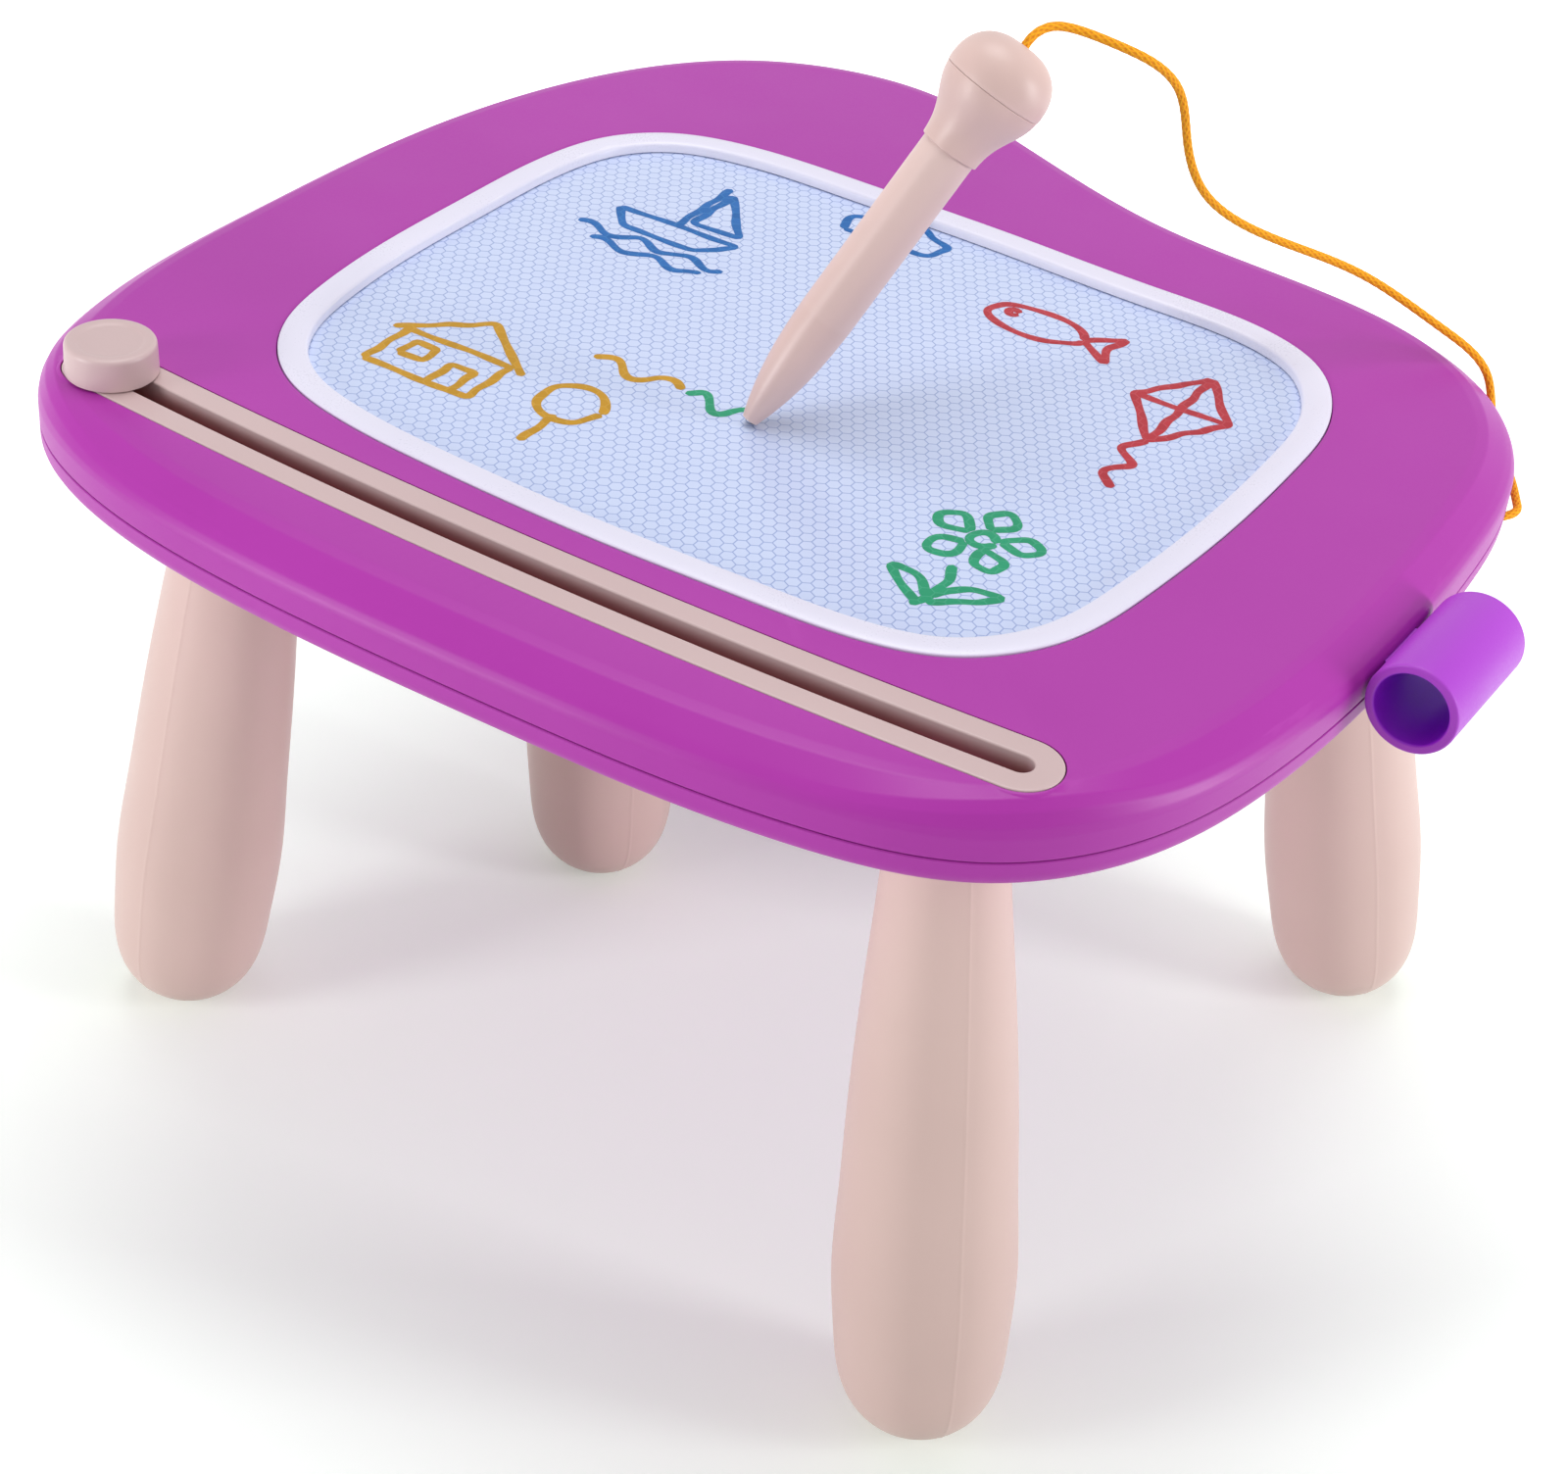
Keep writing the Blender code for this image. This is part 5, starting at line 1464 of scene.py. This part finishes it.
@dataclass
class Screen:
    """The pale ring, the film with its cells, and a few plain marks drawn on it."""

    face: float = 0.0085
    crown: float = 0.0008
    side_lip: float = 0.0002
    lip_round: float = 0.0002
    seat_drop: float = 0.0026
    crown_shares: tuple = (
        (0.0, 0.0), (0.05, 0.42), (0.13, 0.65), (0.45, 1.0), (0.85, 0.55), (0.955, 0.1),
        (1.0, -0.5),
    )
    crown_steps: int = 26
    crease: float = math.radians(50)
    film_top: float = 0.0029
    line_half: float = 0.0014
    line_lift: float = 0.00004
    line_thickness: float = 0.00003
    line_step: float = 0.0007
    least_steps: int = 12
    least_width: float = 0.02
    line_sides: int = 8
    shake: float = 0.0003
    shake_rate: float = 90.0
    shake_turns: tuple[float, float] = (3.1, 2.3)
    swell: float = 0.1
    swell_rate: float = 420.0

    def make_ring(self) -> None:
        """The ring: a crowned section, spline-smooth across its face, carried round the opening."""
        shares = smooth_curve(np.array(self.crown_shares), False, self.crown_steps)
        section = [(0.0, self.seat_drop), (0.0, self.lip_round - self.side_lip)]
        section += [
            (self.face * across, -self.side_lip - self.crown * rise) for across, rise in shares
        ]
        section += [(self.face, self.seat_drop)]
        rows = [plan.screen_ring(-FIT_GAP - inset, drop) for inset, drop in section]
        mesh = skinned("screen_ring", [rows], looped=True)
        add_piece("screen_ring", mesh, LILAC, Body.BOARD, ["screen_bezel"], angle=self.crease)

    def stroke(self, motif: Motif, points: Sequence[tuple[float, float]]) -> Rows:
        """One drawn line as a flat lens-shaped band along a hand-drawn path.

        The path is rounded at its corners, resampled and shaken a little by two slow sines. At
        each step the section is an ellipse (w cos a, h sin a) across the path, and w shrinks as
        a half circle at both ends.

        Args:
            motif: The drawing that it belongs to, which says where it stands and how it bends.
            points: The line's corners.

        Returns:
            The band's rings.
        """
        path = np.array(points, dtype=float)
        if motif.closed:
            path = np.vstack([path, path[:1]])
        if len(path) > 2 and motif.soft > 0:
            path = rounded(path, motif.soft)
        path = (path + motif.centre) / MM_IN_METRE
        run = run_along(path)
        length = np.linspace(0, run[-1], max(self.least_steps, int(run[-1] / self.line_step)))
        line = np.column_stack([np.interp(length, run, side) for side in path.T])
        phase = self.shake_rate * (line[:, 0] + 2 * line[:, 1])
        first, second = self.shake_turns
        line += self.shake * np.column_stack([np.sin(phase * first), np.cos(phase * second)])
        across = -to_right(units(np.gradient(line, axis=0)))
        inside = np.clip(np.minimum(length, run[-1] - length) / self.line_half, 0, 1)
        taper = np.sqrt(np.clip(1 - (1 - inside) ** 2, self.least_width, 1))
        width = self.line_half * (1 + self.swell * np.sin(length * self.swell_rate)) * taper
        turns = even_angles(self.line_sides)
        flat = width[:, None] * np.cos(turns)
        rise = self.line_lift - self.film_top + self.line_thickness * np.sin(turns)
        rings = line[:, None] + flat[:, :, None] * across[:, None]
        return [np.column_stack([ring, rise]) for ring in rings]

    def drawings(self) -> dict[Ink, list[Motif]]:
        """What is drawn in the colour of each of the screen's four zones.

        Returns:
            A boat and a cloud, a kite and a fish, a house and a tree, a wavy line and a flower.
        """
        petal = ((5, 0), (13, -0.42), (17, 0), (13, 0.42), (5, 0))
        petals = [
            [(far * math.cos(turn + aside), far * math.sin(turn + aside)) for far, aside in petal]
            for turn in np.linspace(0.3, 0.3 + FULL_TURN, 6)[:-1]
        ]
        hull, sail = [(-22, -2), (22, -2), (13, -13), (-14, -13)], [(2, 27), (19, 3), (2, 3)]
        cloud = [
            (-15, -5), (-19, 3), (-10, 9), (-3, 14), (6, 11), (10, 7), (18, 5), (15, -5), (-15, -5),
        ]
        walls = [(-18, -16), (18, -16), (18, 6), (-18, 6)]
        door = [(4, -16), (12, -16), (12, -3), (4, -3)]
        leaf = [(0, -2), (9, 4), (17, 12), (6, 11), (0, 1)]
        low_leaf = [(-1, -4), (-10, 2), (-17, 9), (-6, 8), (-1, 0)]
        return {
            Ink.BLUE: [
                Motif((-78, 42), [wave(-27, -19, 54, 2.2, 3), wave(-18, -26, 40, 2.0, 2.2)]),
                Motif((-78, 42), [hull, sail], 2.5, closed=True),
                Motif((-78, 42), [[(-1, 31), (-1, -2)]]),
                Motif((-22, 78), [cloud], 4),
            ],
            Ink.RED: [
                Motif((97, 34), [[(0, 25), (15, 3), (0, -20), (-15, 3)]], 1.5, closed=True),
                Motif((97, 34), [[(0, 25), (0, -20)], [(-15, 3), (15, 3)]]),
                Motif((97, 10), [[(0, 4), (-5, -4), (3, -11), (-4, -19), (3, -26)]], 3),
                Motif((42, 56), [oval(-2, 0, 16, 8.5), oval(-11, 2, 1.6, 1.6)]),
                Motif((42, 56), [[(14, 0), (25, 9), (22, 0), (25, -9)]], 2, closed=True),
            ],
            Ink.OCHRE: [
                Motif((-85, -72), [walls, door], 1.5, closed=True),
                Motif((-85, -72), [[(-23, 4), (0, 24), (23, 4)]], 1.5),
                Motif((-85, -72), [[(-12, -7), (-4, -7), (-4, 1), (-12, 1)]], 1, closed=True),
                Motif((-42, -84), [[(0, -14), (0, 4)], oval(0, 12, 9.5, 10.5)]),
                Motif((-52, -46), [wave(0, 0, 30, 3.5, 1.5)]),
            ],
            Ink.GREEN: [
                Motif((-20, -47), [wave(0, 0, 24, 4.0, 1.5)]),
                Motif((84, -62), petals, 3),
                Motif((84, -62), [oval(0, 0, 3.4, 3.4)]),
                Motif((84, -62), [[(0, -16), (3, -26), (0, -40)]], 6),
                Motif((86, -96), [leaf, low_leaf], 4),
            ],
        }

    def make_marks(self) -> None:
        """The marks, as one piece for each colour."""
        for ink, motifs in self.drawings().items():
            shapes = [self.stroke(motif, points) for motif in motifs for points in motif.lines]
            name = f"drawn_marks_{ink.name.lower()}"
            add_piece(name, skinned(name, shapes), ink.finish(), Body.BOARD)


# ---------------------------------------------------------------- the eraser


@dataclass
class Eraser:
    """The slot's pale liner and the knob that slides along it."""

    proud: float = 0.0002
    thickness: float = 0.0034
    slot_half: float = 0.0035
    lip: float = 0.0014
    lip_drop: float = 0.0065
    edge: float = 0.0007
    # Painted shade down the slot: its colour, and the depths below the liner's top where it starts
    # and where it is full.
    inside: Rgb = (190, 92, 86)
    painted_shade_reach: tuple[float, float] = (0.0012, 0.0072)
    knob_radius: float = 0.013
    knob_height: float = 0.0095
    knob_rounds: tuple = (0.0001, 0.0002, 0.0003, 0.0004, 0.0016, 0.0008, 0.0008)
    round_steps: int = 7
    dish_radius: float = 0.0098
    dish_slope: float = 0.0012
    dish_depth: float = 0.0005
    dish_eye: float = 0.0004
    draft: float = 0.0003
    stem_radius: float = 0.0032
    pilot: float = 0.00155
    pilot_mouth: float = -0.004
    bore_top: float = -0.0031

    def make_track(self) -> None:
        """The liner: a section with rounded edges carried round the slot as one loop."""
        outer, lip, slot = track_path.half_width, self.slot_half + self.lip, self.slot_half
        bottom = self.thickness - self.proud
        middle = (outer + slot) / 2
        corners = np.array([
            (middle, -self.proud), (slot, -self.proud), (slot, self.lip_drop), (lip, self.lip_drop),
            (lip, bottom), (outer, bottom), (outer, -self.proud), (middle, -self.proud),
        ])
        section = rounded(corners, self.edge)[:-1]
        mesh = skinned("track_liner", [[track_path.ring(*spot) for spot in section]], looped=True)
        # The slot's walls are painted darker with depth, as shade.
        top = tuple(BOARD_ORIGIN + (0, 0, self.proud))
        painted_shade = PaintedShade(self.inside, top, (0, 0, 1), *self.painted_shade_reach)
        finish = replace(DUSKY, name="slot_liner_plastic", painted_shade=painted_shade)
        add_piece("track_liner", mesh, finish, Body.BOARD, ["slider_track"])

    def make_knob(self) -> None:
        """The knob: a turned profile with a rounded edge, a shallow dish and its hollow stem."""
        low = self.proud + FIT_GAP
        high = low + self.knob_height
        dish = high - self.dish_depth
        corners = np.array([
            (self.pilot, self.pilot_mouth), (self.pilot, -self.lip_drop),
            (self.stem_radius, -self.lip_drop), (self.stem_radius, low),
            (self.knob_radius, low), (self.knob_radius - self.draft, high),
            (self.dish_radius, high), (self.dish_radius - self.dish_slope, dish),
            (self.dish_eye, dish),
        ])
        profile = np.vstack([
            [(0.0, self.bore_top), (self.pilot, self.bore_top)],
            rounded(corners, np.array(self.knob_rounds), self.round_steps)[1:], [(0.0, dish)],
        ])
        spot = Matrix.Translation((*track_path.place_at(track_path.rest), 0))
        mesh = skinned("sliding_knob", [moved(turned_rows(profile, even_angles(FINE_SIDES)), spot)])
        add_piece("sliding_knob", mesh, DUSKY, Body.ERASER, ["eraser_knob"])


# ---------------------------------------------------------------- the pen


@dataclass
class Pen:
    """The magnetic pen, drawn upward from the centre of its tip ball."""

    tip_place: tuple[float, float] = (0.0034, -0.0500)
    tip_height: float = -0.0011
    heading: float = 52.9
    lean: float = 34.0
    roll: float = 54.9
    ball_radius: float = 0.0015
    ball_shows: float = 0.0012
    tip_rim: float = 0.0006
    tip_round: float = 0.0002
    barrel_radius: float = 0.008
    taper: float = 0.036
    barrel_top: float = 0.1025
    bore_radius: float = 0.0055
    bore_floor: float = 0.030
    magnet_bore: float = 0.0035
    magnet_floor: float = 0.009
    nose_shares: tuple = (
        (0.0, 0.0), (0.08, 0.17), (0.22, 0.42), (0.42, 0.69), (0.65, 0.88), (1.0, 1.0),
    )
    curve_steps: int = 40
    ball_steps: int = 25
    collar_base: float = 0.0925
    collar_top: float = 0.1120
    collar_shares: tuple = (
        (0.0, 0.00875), (0.17, 0.0091), (0.38, 0.0102), (0.57, 0.0119), (0.74, 0.0135),
        (0.88, 0.0144), (1.0, 0.0148),
    )
    collar_web: float = 0.002
    collar_round: float = 0.0003
    seam_gap: float = 0.00006
    dome_radius: float = 0.015
    dome_height: float = 0.0146
    dome_wall: float = 0.0024
    dome_band: float = 0.0012
    dome_square: float = 2.4
    dome_steps: int = 46
    dome_sides: int = 128
    foot_round: tuple = ((-0.0003, 0.0), (-0.00008, 0.0002))
    exit_tilt: float = 18.7
    hole_radius: float = 0.0016
    hole_start: float = 0.0109
    hole_sides: int = 48
    dimple_depth: float = 0.0008
    dimple_width: float = 0.0036

    def matrix(self) -> Matrix:
        """The pen's frame in the board's: its tip ball's centre, with Z up the pen."""
        tip = Matrix.Translation((*self.tip_place, self.tip_height))
        turns = [(self.heading, "Z"), (self.lean, "Y"), (self.roll, "Z")]
        heading, lean, roll = (Matrix.Rotation(math.radians(turn), 4, axis) for turn, axis in turns)
        return tip @ heading @ lean @ roll

    def exit_direction(self) -> Vector:
        """Where the cord leaves the cap, in the pen's frame."""
        tilt = math.radians(self.exit_tilt)
        return Vector((math.sin(tilt), 0, math.cos(tilt)))

    def turned_piece(self, name: str, profile: Points, finish: Finish, replaced: str) -> None:
        """A piece of the pen turned about its axis."""
        rows = moved(turned_rows(profile, even_angles(FINE_SIDES)), self.matrix())
        add_piece(name, skinned(name, [rows]), finish, Body.PEN, [replaced])

    def make_barrel(self) -> None:
        """The barrel: a spline nose that swells to a plain round shaft, hollow inside."""
        seat = self.ball_radius + FIT_GAP
        tip = self.ball_shows - self.ball_radius
        start = np.array([seat + self.tip_rim, tip])
        shares = smooth_curve(np.array(self.nose_shares), False, self.curve_steps)[:, ::-1]
        nose = start + (np.array([self.barrel_radius, self.taper]) - start) * shares
        profile = np.vstack([
            [(0.0, seat), (seat, seat), (seat, tip + self.tip_round), (seat + self.tip_round, tip)],
            nose, [(self.barrel_radius, self.barrel_top), (self.bore_radius, self.barrel_top)],
            [(self.bore_radius, self.bore_floor), (self.magnet_bore, self.bore_floor)],
            [(self.magnet_bore, self.magnet_floor), (0.0, self.magnet_floor)],
        ])
        self.turned_piece("fine_barrel", profile, PINK, "pen_barrel")

    def make_ball(self) -> None:
        """The steel ball in the tip, as half a circle turned about the pen's axis."""
        turns = np.linspace(-QUARTER_TURN, QUARTER_TURN, self.ball_steps)
        profile = self.ball_radius * around(turns)
        profile[[0, -1], 0] = 0
        self.turned_piece("fine_tip_ball", profile, STEEL, "pen_tip_ball")

    def make_collar(self) -> None:
        """The collar: a sleeve that flares along a spline, with crisp small rounds at both rims."""
        sleeve = self.barrel_radius + FIT_GAP
        web = self.barrel_top + FIT_GAP
        tall = self.collar_top - self.collar_base
        flare = [(radius, self.collar_base + tall * share) for share, radius in self.collar_shares]
        corners = np.vstack([
            [(sleeve, web), (sleeve, self.collar_base)],
            smooth_curve(flare, False, self.curve_steps),
            [(flare[-1][0] - self.dome_wall, self.collar_top), (sleeve, web + self.collar_web)],
        ])
        profile = np.vstack([
            [(0.0, web)], rounded(corners, self.collar_round, 4), [(0.0, web + self.collar_web)],
        ])
        self.turned_piece("fine_collar", profile, PINK, "pen_collar")

    def make_cap(self) -> None:
        """The domed cap, pressed in softly round the cord's hole.

        Its section is a squared ellipse, |r/R|^n + |h/H|^n = 1, turned about the axis. The dimple
        moves a point of the outer skin inward by d exp(-(q/w)^2), where q is its distance from
        the line along which the cord leaves.
        """
        base = self.collar_top + self.seam_gap
        centre = base + self.dome_band
        size = np.array([self.dome_radius, self.dome_height - self.dome_band])
        turns = np.linspace(0, QUARTER_TURN, self.dome_steps)
        dome = np.clip(around(turns), 0, 1) ** (2 / self.dome_square) * size + (0, centre)
        cavity = (around(turns) * (size - self.dome_wall) + (0, centre))[::-3][:-1]
        dome[-1, 0] = cavity[0, 0] = 0
        angles = even_angles(self.dome_sides)
        rows = turned_rows(np.vstack([np.array(self.foot_round) + (size[0], base), dome]), angles)
        inside = turned_rows(np.vstack([cavity, [(size[0] - self.dome_wall, base)]]), angles)
        out = np.array(self.exit_direction())
        root = np.array([0.0, 0.0, self.collar_top])
        for row in rows:
            away = row - root
            along = away @ out
            gap = np.linalg.norm(away - along[:, None] * out, axis=1)
            push = self.dimple_depth * np.exp(-((gap / self.dimple_width) ** 2)) * (along > 0)
            row -= push[:, None] * out
        shell = skinned("fine_cap", [moved(rows + inside, self.matrix())], looped=True)
        reaches = (self.hole_start, self.dome_height + OVERRUN)
        ends = [Vector(root + out * reach) for reach in reaches]
        hole = moved(rod_rows(*ends, self.hole_radius, self.hole_sides), self.matrix())
        shell = carved(shell, [(skinned("cap_hole", [hole]), Cut.TAKE)])
        add_piece("fine_cap", shell, PINK, Body.PEN, ["pen_cap"])


# ---------------------------------------------------------------- the cord


@dataclass
class Cord:
    """The braided cord from the pen's cap to the case."""

    radius: float = 0.00125
    steps: int = 950
    sides: int = 36
    relief: float = 0.00007
    path_step: int = 10
    route: tuple = (
        (0.0438, 0.0092, 0.1008), (0.0448, 0.0127, 0.1042), (0.0477, 0.0180, 0.1062),
        (0.0534, 0.0232, 0.1052), (0.0625, 0.0287, 0.1020), (0.0708, 0.0350, 0.0975),
        (0.0768, 0.0450, 0.0870), (0.0790, 0.0520, 0.0700), (0.0841, 0.0610, 0.0520),
        (0.1005, 0.0783, 0.0370), (0.1236, 0.1030, 0.0220), (0.1470, 0.1130, 0.0085),
        (0.1565, 0.1172, 0.0018), (0.1618, 0.1193, -0.0050), (0.1648, 0.1182, -0.0115),
        (0.1690, 0.1126, -0.0170), (0.1748, 0.1052, -0.0198), (0.1803, 0.0965, -0.0206),
        (0.1850, 0.0878, -0.0206), (0.1884, 0.0805, -0.0203), (0.1900, 0.0756, -0.0201),
        (0.1892, 0.0720, -0.0200), (0.1860, 0.0675, -0.0200),
    )

    def frames(self, path: Points) -> tuple[Points, Points]:
        """Two directions across a path at each of its points, carried along without twist.

        Args:
            path: The points.

        Returns:
            The two directions, square to each other and to the path.
        """
        ahead = units(np.gradient(path, axis=0))
        side = np.cross(ahead[0], (0.0, 0.0, 1.0))
        sides = []
        for direction in ahead:
            side = side - (side @ direction) * direction
            side /= np.linalg.norm(side)
            sides.append(side)
        return np.array(sides), np.cross(ahead, sides)

    def make(self) -> None:
        """The cord: a tube along the spline through its route.

        Each ring lies square to the path. Its radius is R + r max(sin(n a + b), sin(n a - b)), a
        braid of two families of strands, for the angle a round it and the phase b along it.
        """
        path = smooth_curve(np.array(self.route), False, self.steps) + BOARD_ORIGIN
        run = run_along(path)
        first, second = self.frames(path)
        turns = even_angles(self.sides)
        phase, wind = FULL_TURN * run[:, None] / BRAID_LAY, BRAID_STRANDS * turns
        swell = self.radius - self.relief / 2
        swell = swell + self.relief * np.maximum(np.sin(wind + phase), np.sin(wind - phase))
        across = np.cos(turns)[:, None] * first[:, None] + np.sin(turns)[:, None] * second[:, None]
        rings = path[:, None] + swell[:, :, None] * across
        mesh = skinned("braided_cord", [list(rings)], rises=run)
        cord = add_piece(
            "braided_cord", mesh, YARN, None, ["pen_cord"], settled=True, angle=math.pi,
        )
        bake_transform(cord)


# ---------------------------------------------------------------- camera, floor and lamps


@dataclass(frozen=True)
class Lamp:
    """A soft rectangular lamp that looks at a point."""

    name: str
    spot: tuple[float, float, float]
    size: tuple[float, float]
    power: float
    target: tuple[float, float, float] = (0.0, 0.0, 0.15)

    def make(self) -> None:
        """Add the lamp."""
        data = bpy.data.lights.new(self.name, "AREA")
        data.shape, data.energy = "RECTANGLE", self.power
        data.size, data.size_y = self.size
        lamp = bpy.data.objects.new(self.name, data)
        lamp.location = self.spot
        away = Vector(self.spot) - Vector(self.target)
        lamp.rotation_mode = "QUATERNION"
        lamp.rotation_quaternion = away.to_track_quat("Z", "Y")
        bpy.context.scene.collection.objects.link(lamp)


def seen(tree: Tree) -> Socket:
    """A mask of what the camera, gloss or glass sees, as against plain light."""
    path = place(tree, "LightPath").outputs
    direct = maths(tree, "MAXIMUM", path["Is Camera Ray"], path["Is Glossy Ray"])
    return maths(tree, "MAXIMUM", direct, path["Is Transmission Ray"])


@dataclass
class Studio:
    """The camera, the pale floor and the soft light."""

    lens: float = 67.5
    sensor: float = 36.0
    clip: tuple[float, float] = (0.01, 60.0)
    eye: tuple[float, float, float] = (0.337517, -0.676223, 0.6587)
    right: tuple[float, float, float] = (0.85394, 0.51389, 0.08190)
    up: tuple[float, float, float] = (-0.36162, 0.47285, 0.80352)
    back: tuple[float, float, float] = (0.37420, -0.71577, 0.58962)
    floor_half: float = 12.0
    floor_corners: tuple = ((-1, -1), (1, -1), (1, 1), (-1, 1))
    floor_lift: tuple[float, float] = (0.25, 0.8)
    floor_reach: tuple[float, float] = (0.2, 0.8)
    sky: float = 0.4
    # Near the board the floor is painted a little green, which cancels the pink light that the case
    # reflects into its shadow; further out it turns neutral.
    floor_near: Rgba = (0.84, 0.92, 0.86, 1.0)
    floor_far: Rgba = (0.9, 0.9, 0.9, 1.0)
    lamps: tuple = (
        Lamp("left_lamp", (-0.85, -1.3, 0.45), (0.4, 0.8), 11.0),
        Lamp("right_lamp", (1.5, 0.35, 0.5), (0.35, 0.8), 12.0),
        Lamp("top_lamp", (-0.2, 0.3, 2.0), (1.2, 1.2), 18.0),
    )

    def make_camera(self) -> None:
        """The camera, set where the photograph was taken from."""
        data = bpy.data.cameras.new("camera")
        data.lens, data.sensor_width = self.lens, self.sensor
        data.clip_start, data.clip_end = self.clip
        camera = bpy.data.objects.new("camera", data)
        turn = Matrix((self.right, self.up, self.back)).transposed()
        camera.matrix_world = Matrix.Translation(self.eye) @ turn.to_4x4()
        bpy.context.scene.collection.objects.link(camera)
        bpy.context.scene.camera = camera

    def make_floor(self) -> None:
        """A wide pale floor that keeps the shadows and looks white where nothing shades it."""
        corners = [(x * self.floor_half, y * self.floor_half, 0) for x, y in self.floor_corners]
        mesh = bpy.data.meshes.new("floor")
        mesh.from_pydata(corners, [], [(0, 1, 2, 3)])
        material = bpy.data.materials.new("pale_floor")
        material.use_nodes = True
        tree = material.node_tree
        tree.nodes.remove(tree.nodes["Principled BSDF"])
        away = length_of(tree, own_place(tree))
        lift = ranged(tree, away, self.floor_reach, self.floor_lift, "SMOOTHSTEP")
        tint = blended(tree, ranged(tree, away, self.floor_reach), self.floor_near, self.floor_far)
        matte = place(tree, "BsdfDiffuse", {"Color": tint}).outputs[0]
        glow = place(tree, "Emission", {"Color": WHITE, "Strength": lift}).outputs[0]
        lifted = place(tree, "AddShader", {0: matte, 1: glow}).outputs[0]
        chosen = place(tree, "MixShader", {0: seen(tree), 1: matte, 2: lifted}).outputs[0]
        join(tree, tree.nodes["Material Output"].inputs, {"Surface": chosen})
        mesh.materials.append(material)
        add_item("floor", mesh)

    def make_sky(self) -> None:
        """A white surround that lights the object at a plain level."""
        world = bpy.data.worlds.new("surround")
        bpy.context.scene.world = world
        world.use_nodes = True
        tree = world.node_tree
        tree.nodes.remove(tree.nodes["Background"])
        light, white = (
            place(tree, "Background", {"Color": WHITE, "Strength": level}).outputs[0]
            for level in (self.sky, 1.0)
        )
        chosen = place(tree, "MixShader", {0: seen(tree), 1: light, 2: white}).outputs[0]
        join(tree, tree.nodes["World Output"].inputs, {"Surface": chosen})

    def make(self) -> None:
        """Set everything up."""
        self.make_camera()
        self.make_floor()
        self.make_sky()
        for lamp in self.lamps:
            lamp.make()
        bpy.context.scene.view_settings.view_transform = "Standard"


def dress_frame() -> None:
    """Give the frame's own shown nodes their finishes."""
    finishes = {
        "screen_film": FILM, "honeycomb_core": CELLS, "screen_back_film": LILAC,
        "eraser_carriage": DUSKY, "eraser_bar": LILAC, "eraser_magnet_strip": MAGNET,
        "knob_screw": STEEL, "pen_magnet": MAGNET, "cord_knot_pen": YARN, "cord_knot_board": YARN,
    }
    for name, finish in finishes.items():
        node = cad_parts[name]
        node.data.materials.clear()
        node.data.materials.append(finish.material())
        log.info("%s: dressed in %s", name, finish.label)


def main() -> None:
    """Build the studio and every piece in order."""
    logging.basicConfig(level=logging.INFO, format="%(name)s: %(message)s")
    case, screws, tube = Case(), Screws(), PenTube()
    legs = [
        Leg(body, foot_share=foot, top_share=top, parting_turn=turn)
        for body, foot, top, turn in (
            (Body.LEG_FRONT_LEFT, (-0.799, -0.617), (-0.694, -0.537), -92.0),
            (Body.LEG_FRONT_RIGHT, (0.699, -0.734), (0.632, -0.766), -40.0),
            (Body.LEG_BACK_RIGHT, (0.840, 0.628), (0.646, 0.524), -42.0),
            (Body.LEG_BACK_LEFT, (-0.428, 0.106), (-0.459, 0.080), -32.0),
        )
    ]
    screen, eraser, pen = Screen(), Eraser(), Pen()
    Studio().make()
    Cord().make()
    case.make_top(tube)
    case.make_bottom(legs, screws)
    for part in (screws, tube, *legs):
        part.make()
    screen.make_ring()
    screen.make_marks()
    eraser.make_track()
    eraser.make_knob()
    pen.make_barrel()
    pen.make_ball()
    pen.make_collar()
    pen.make_cap()
    dress_frame()


if __name__ == "__main__":
    main()
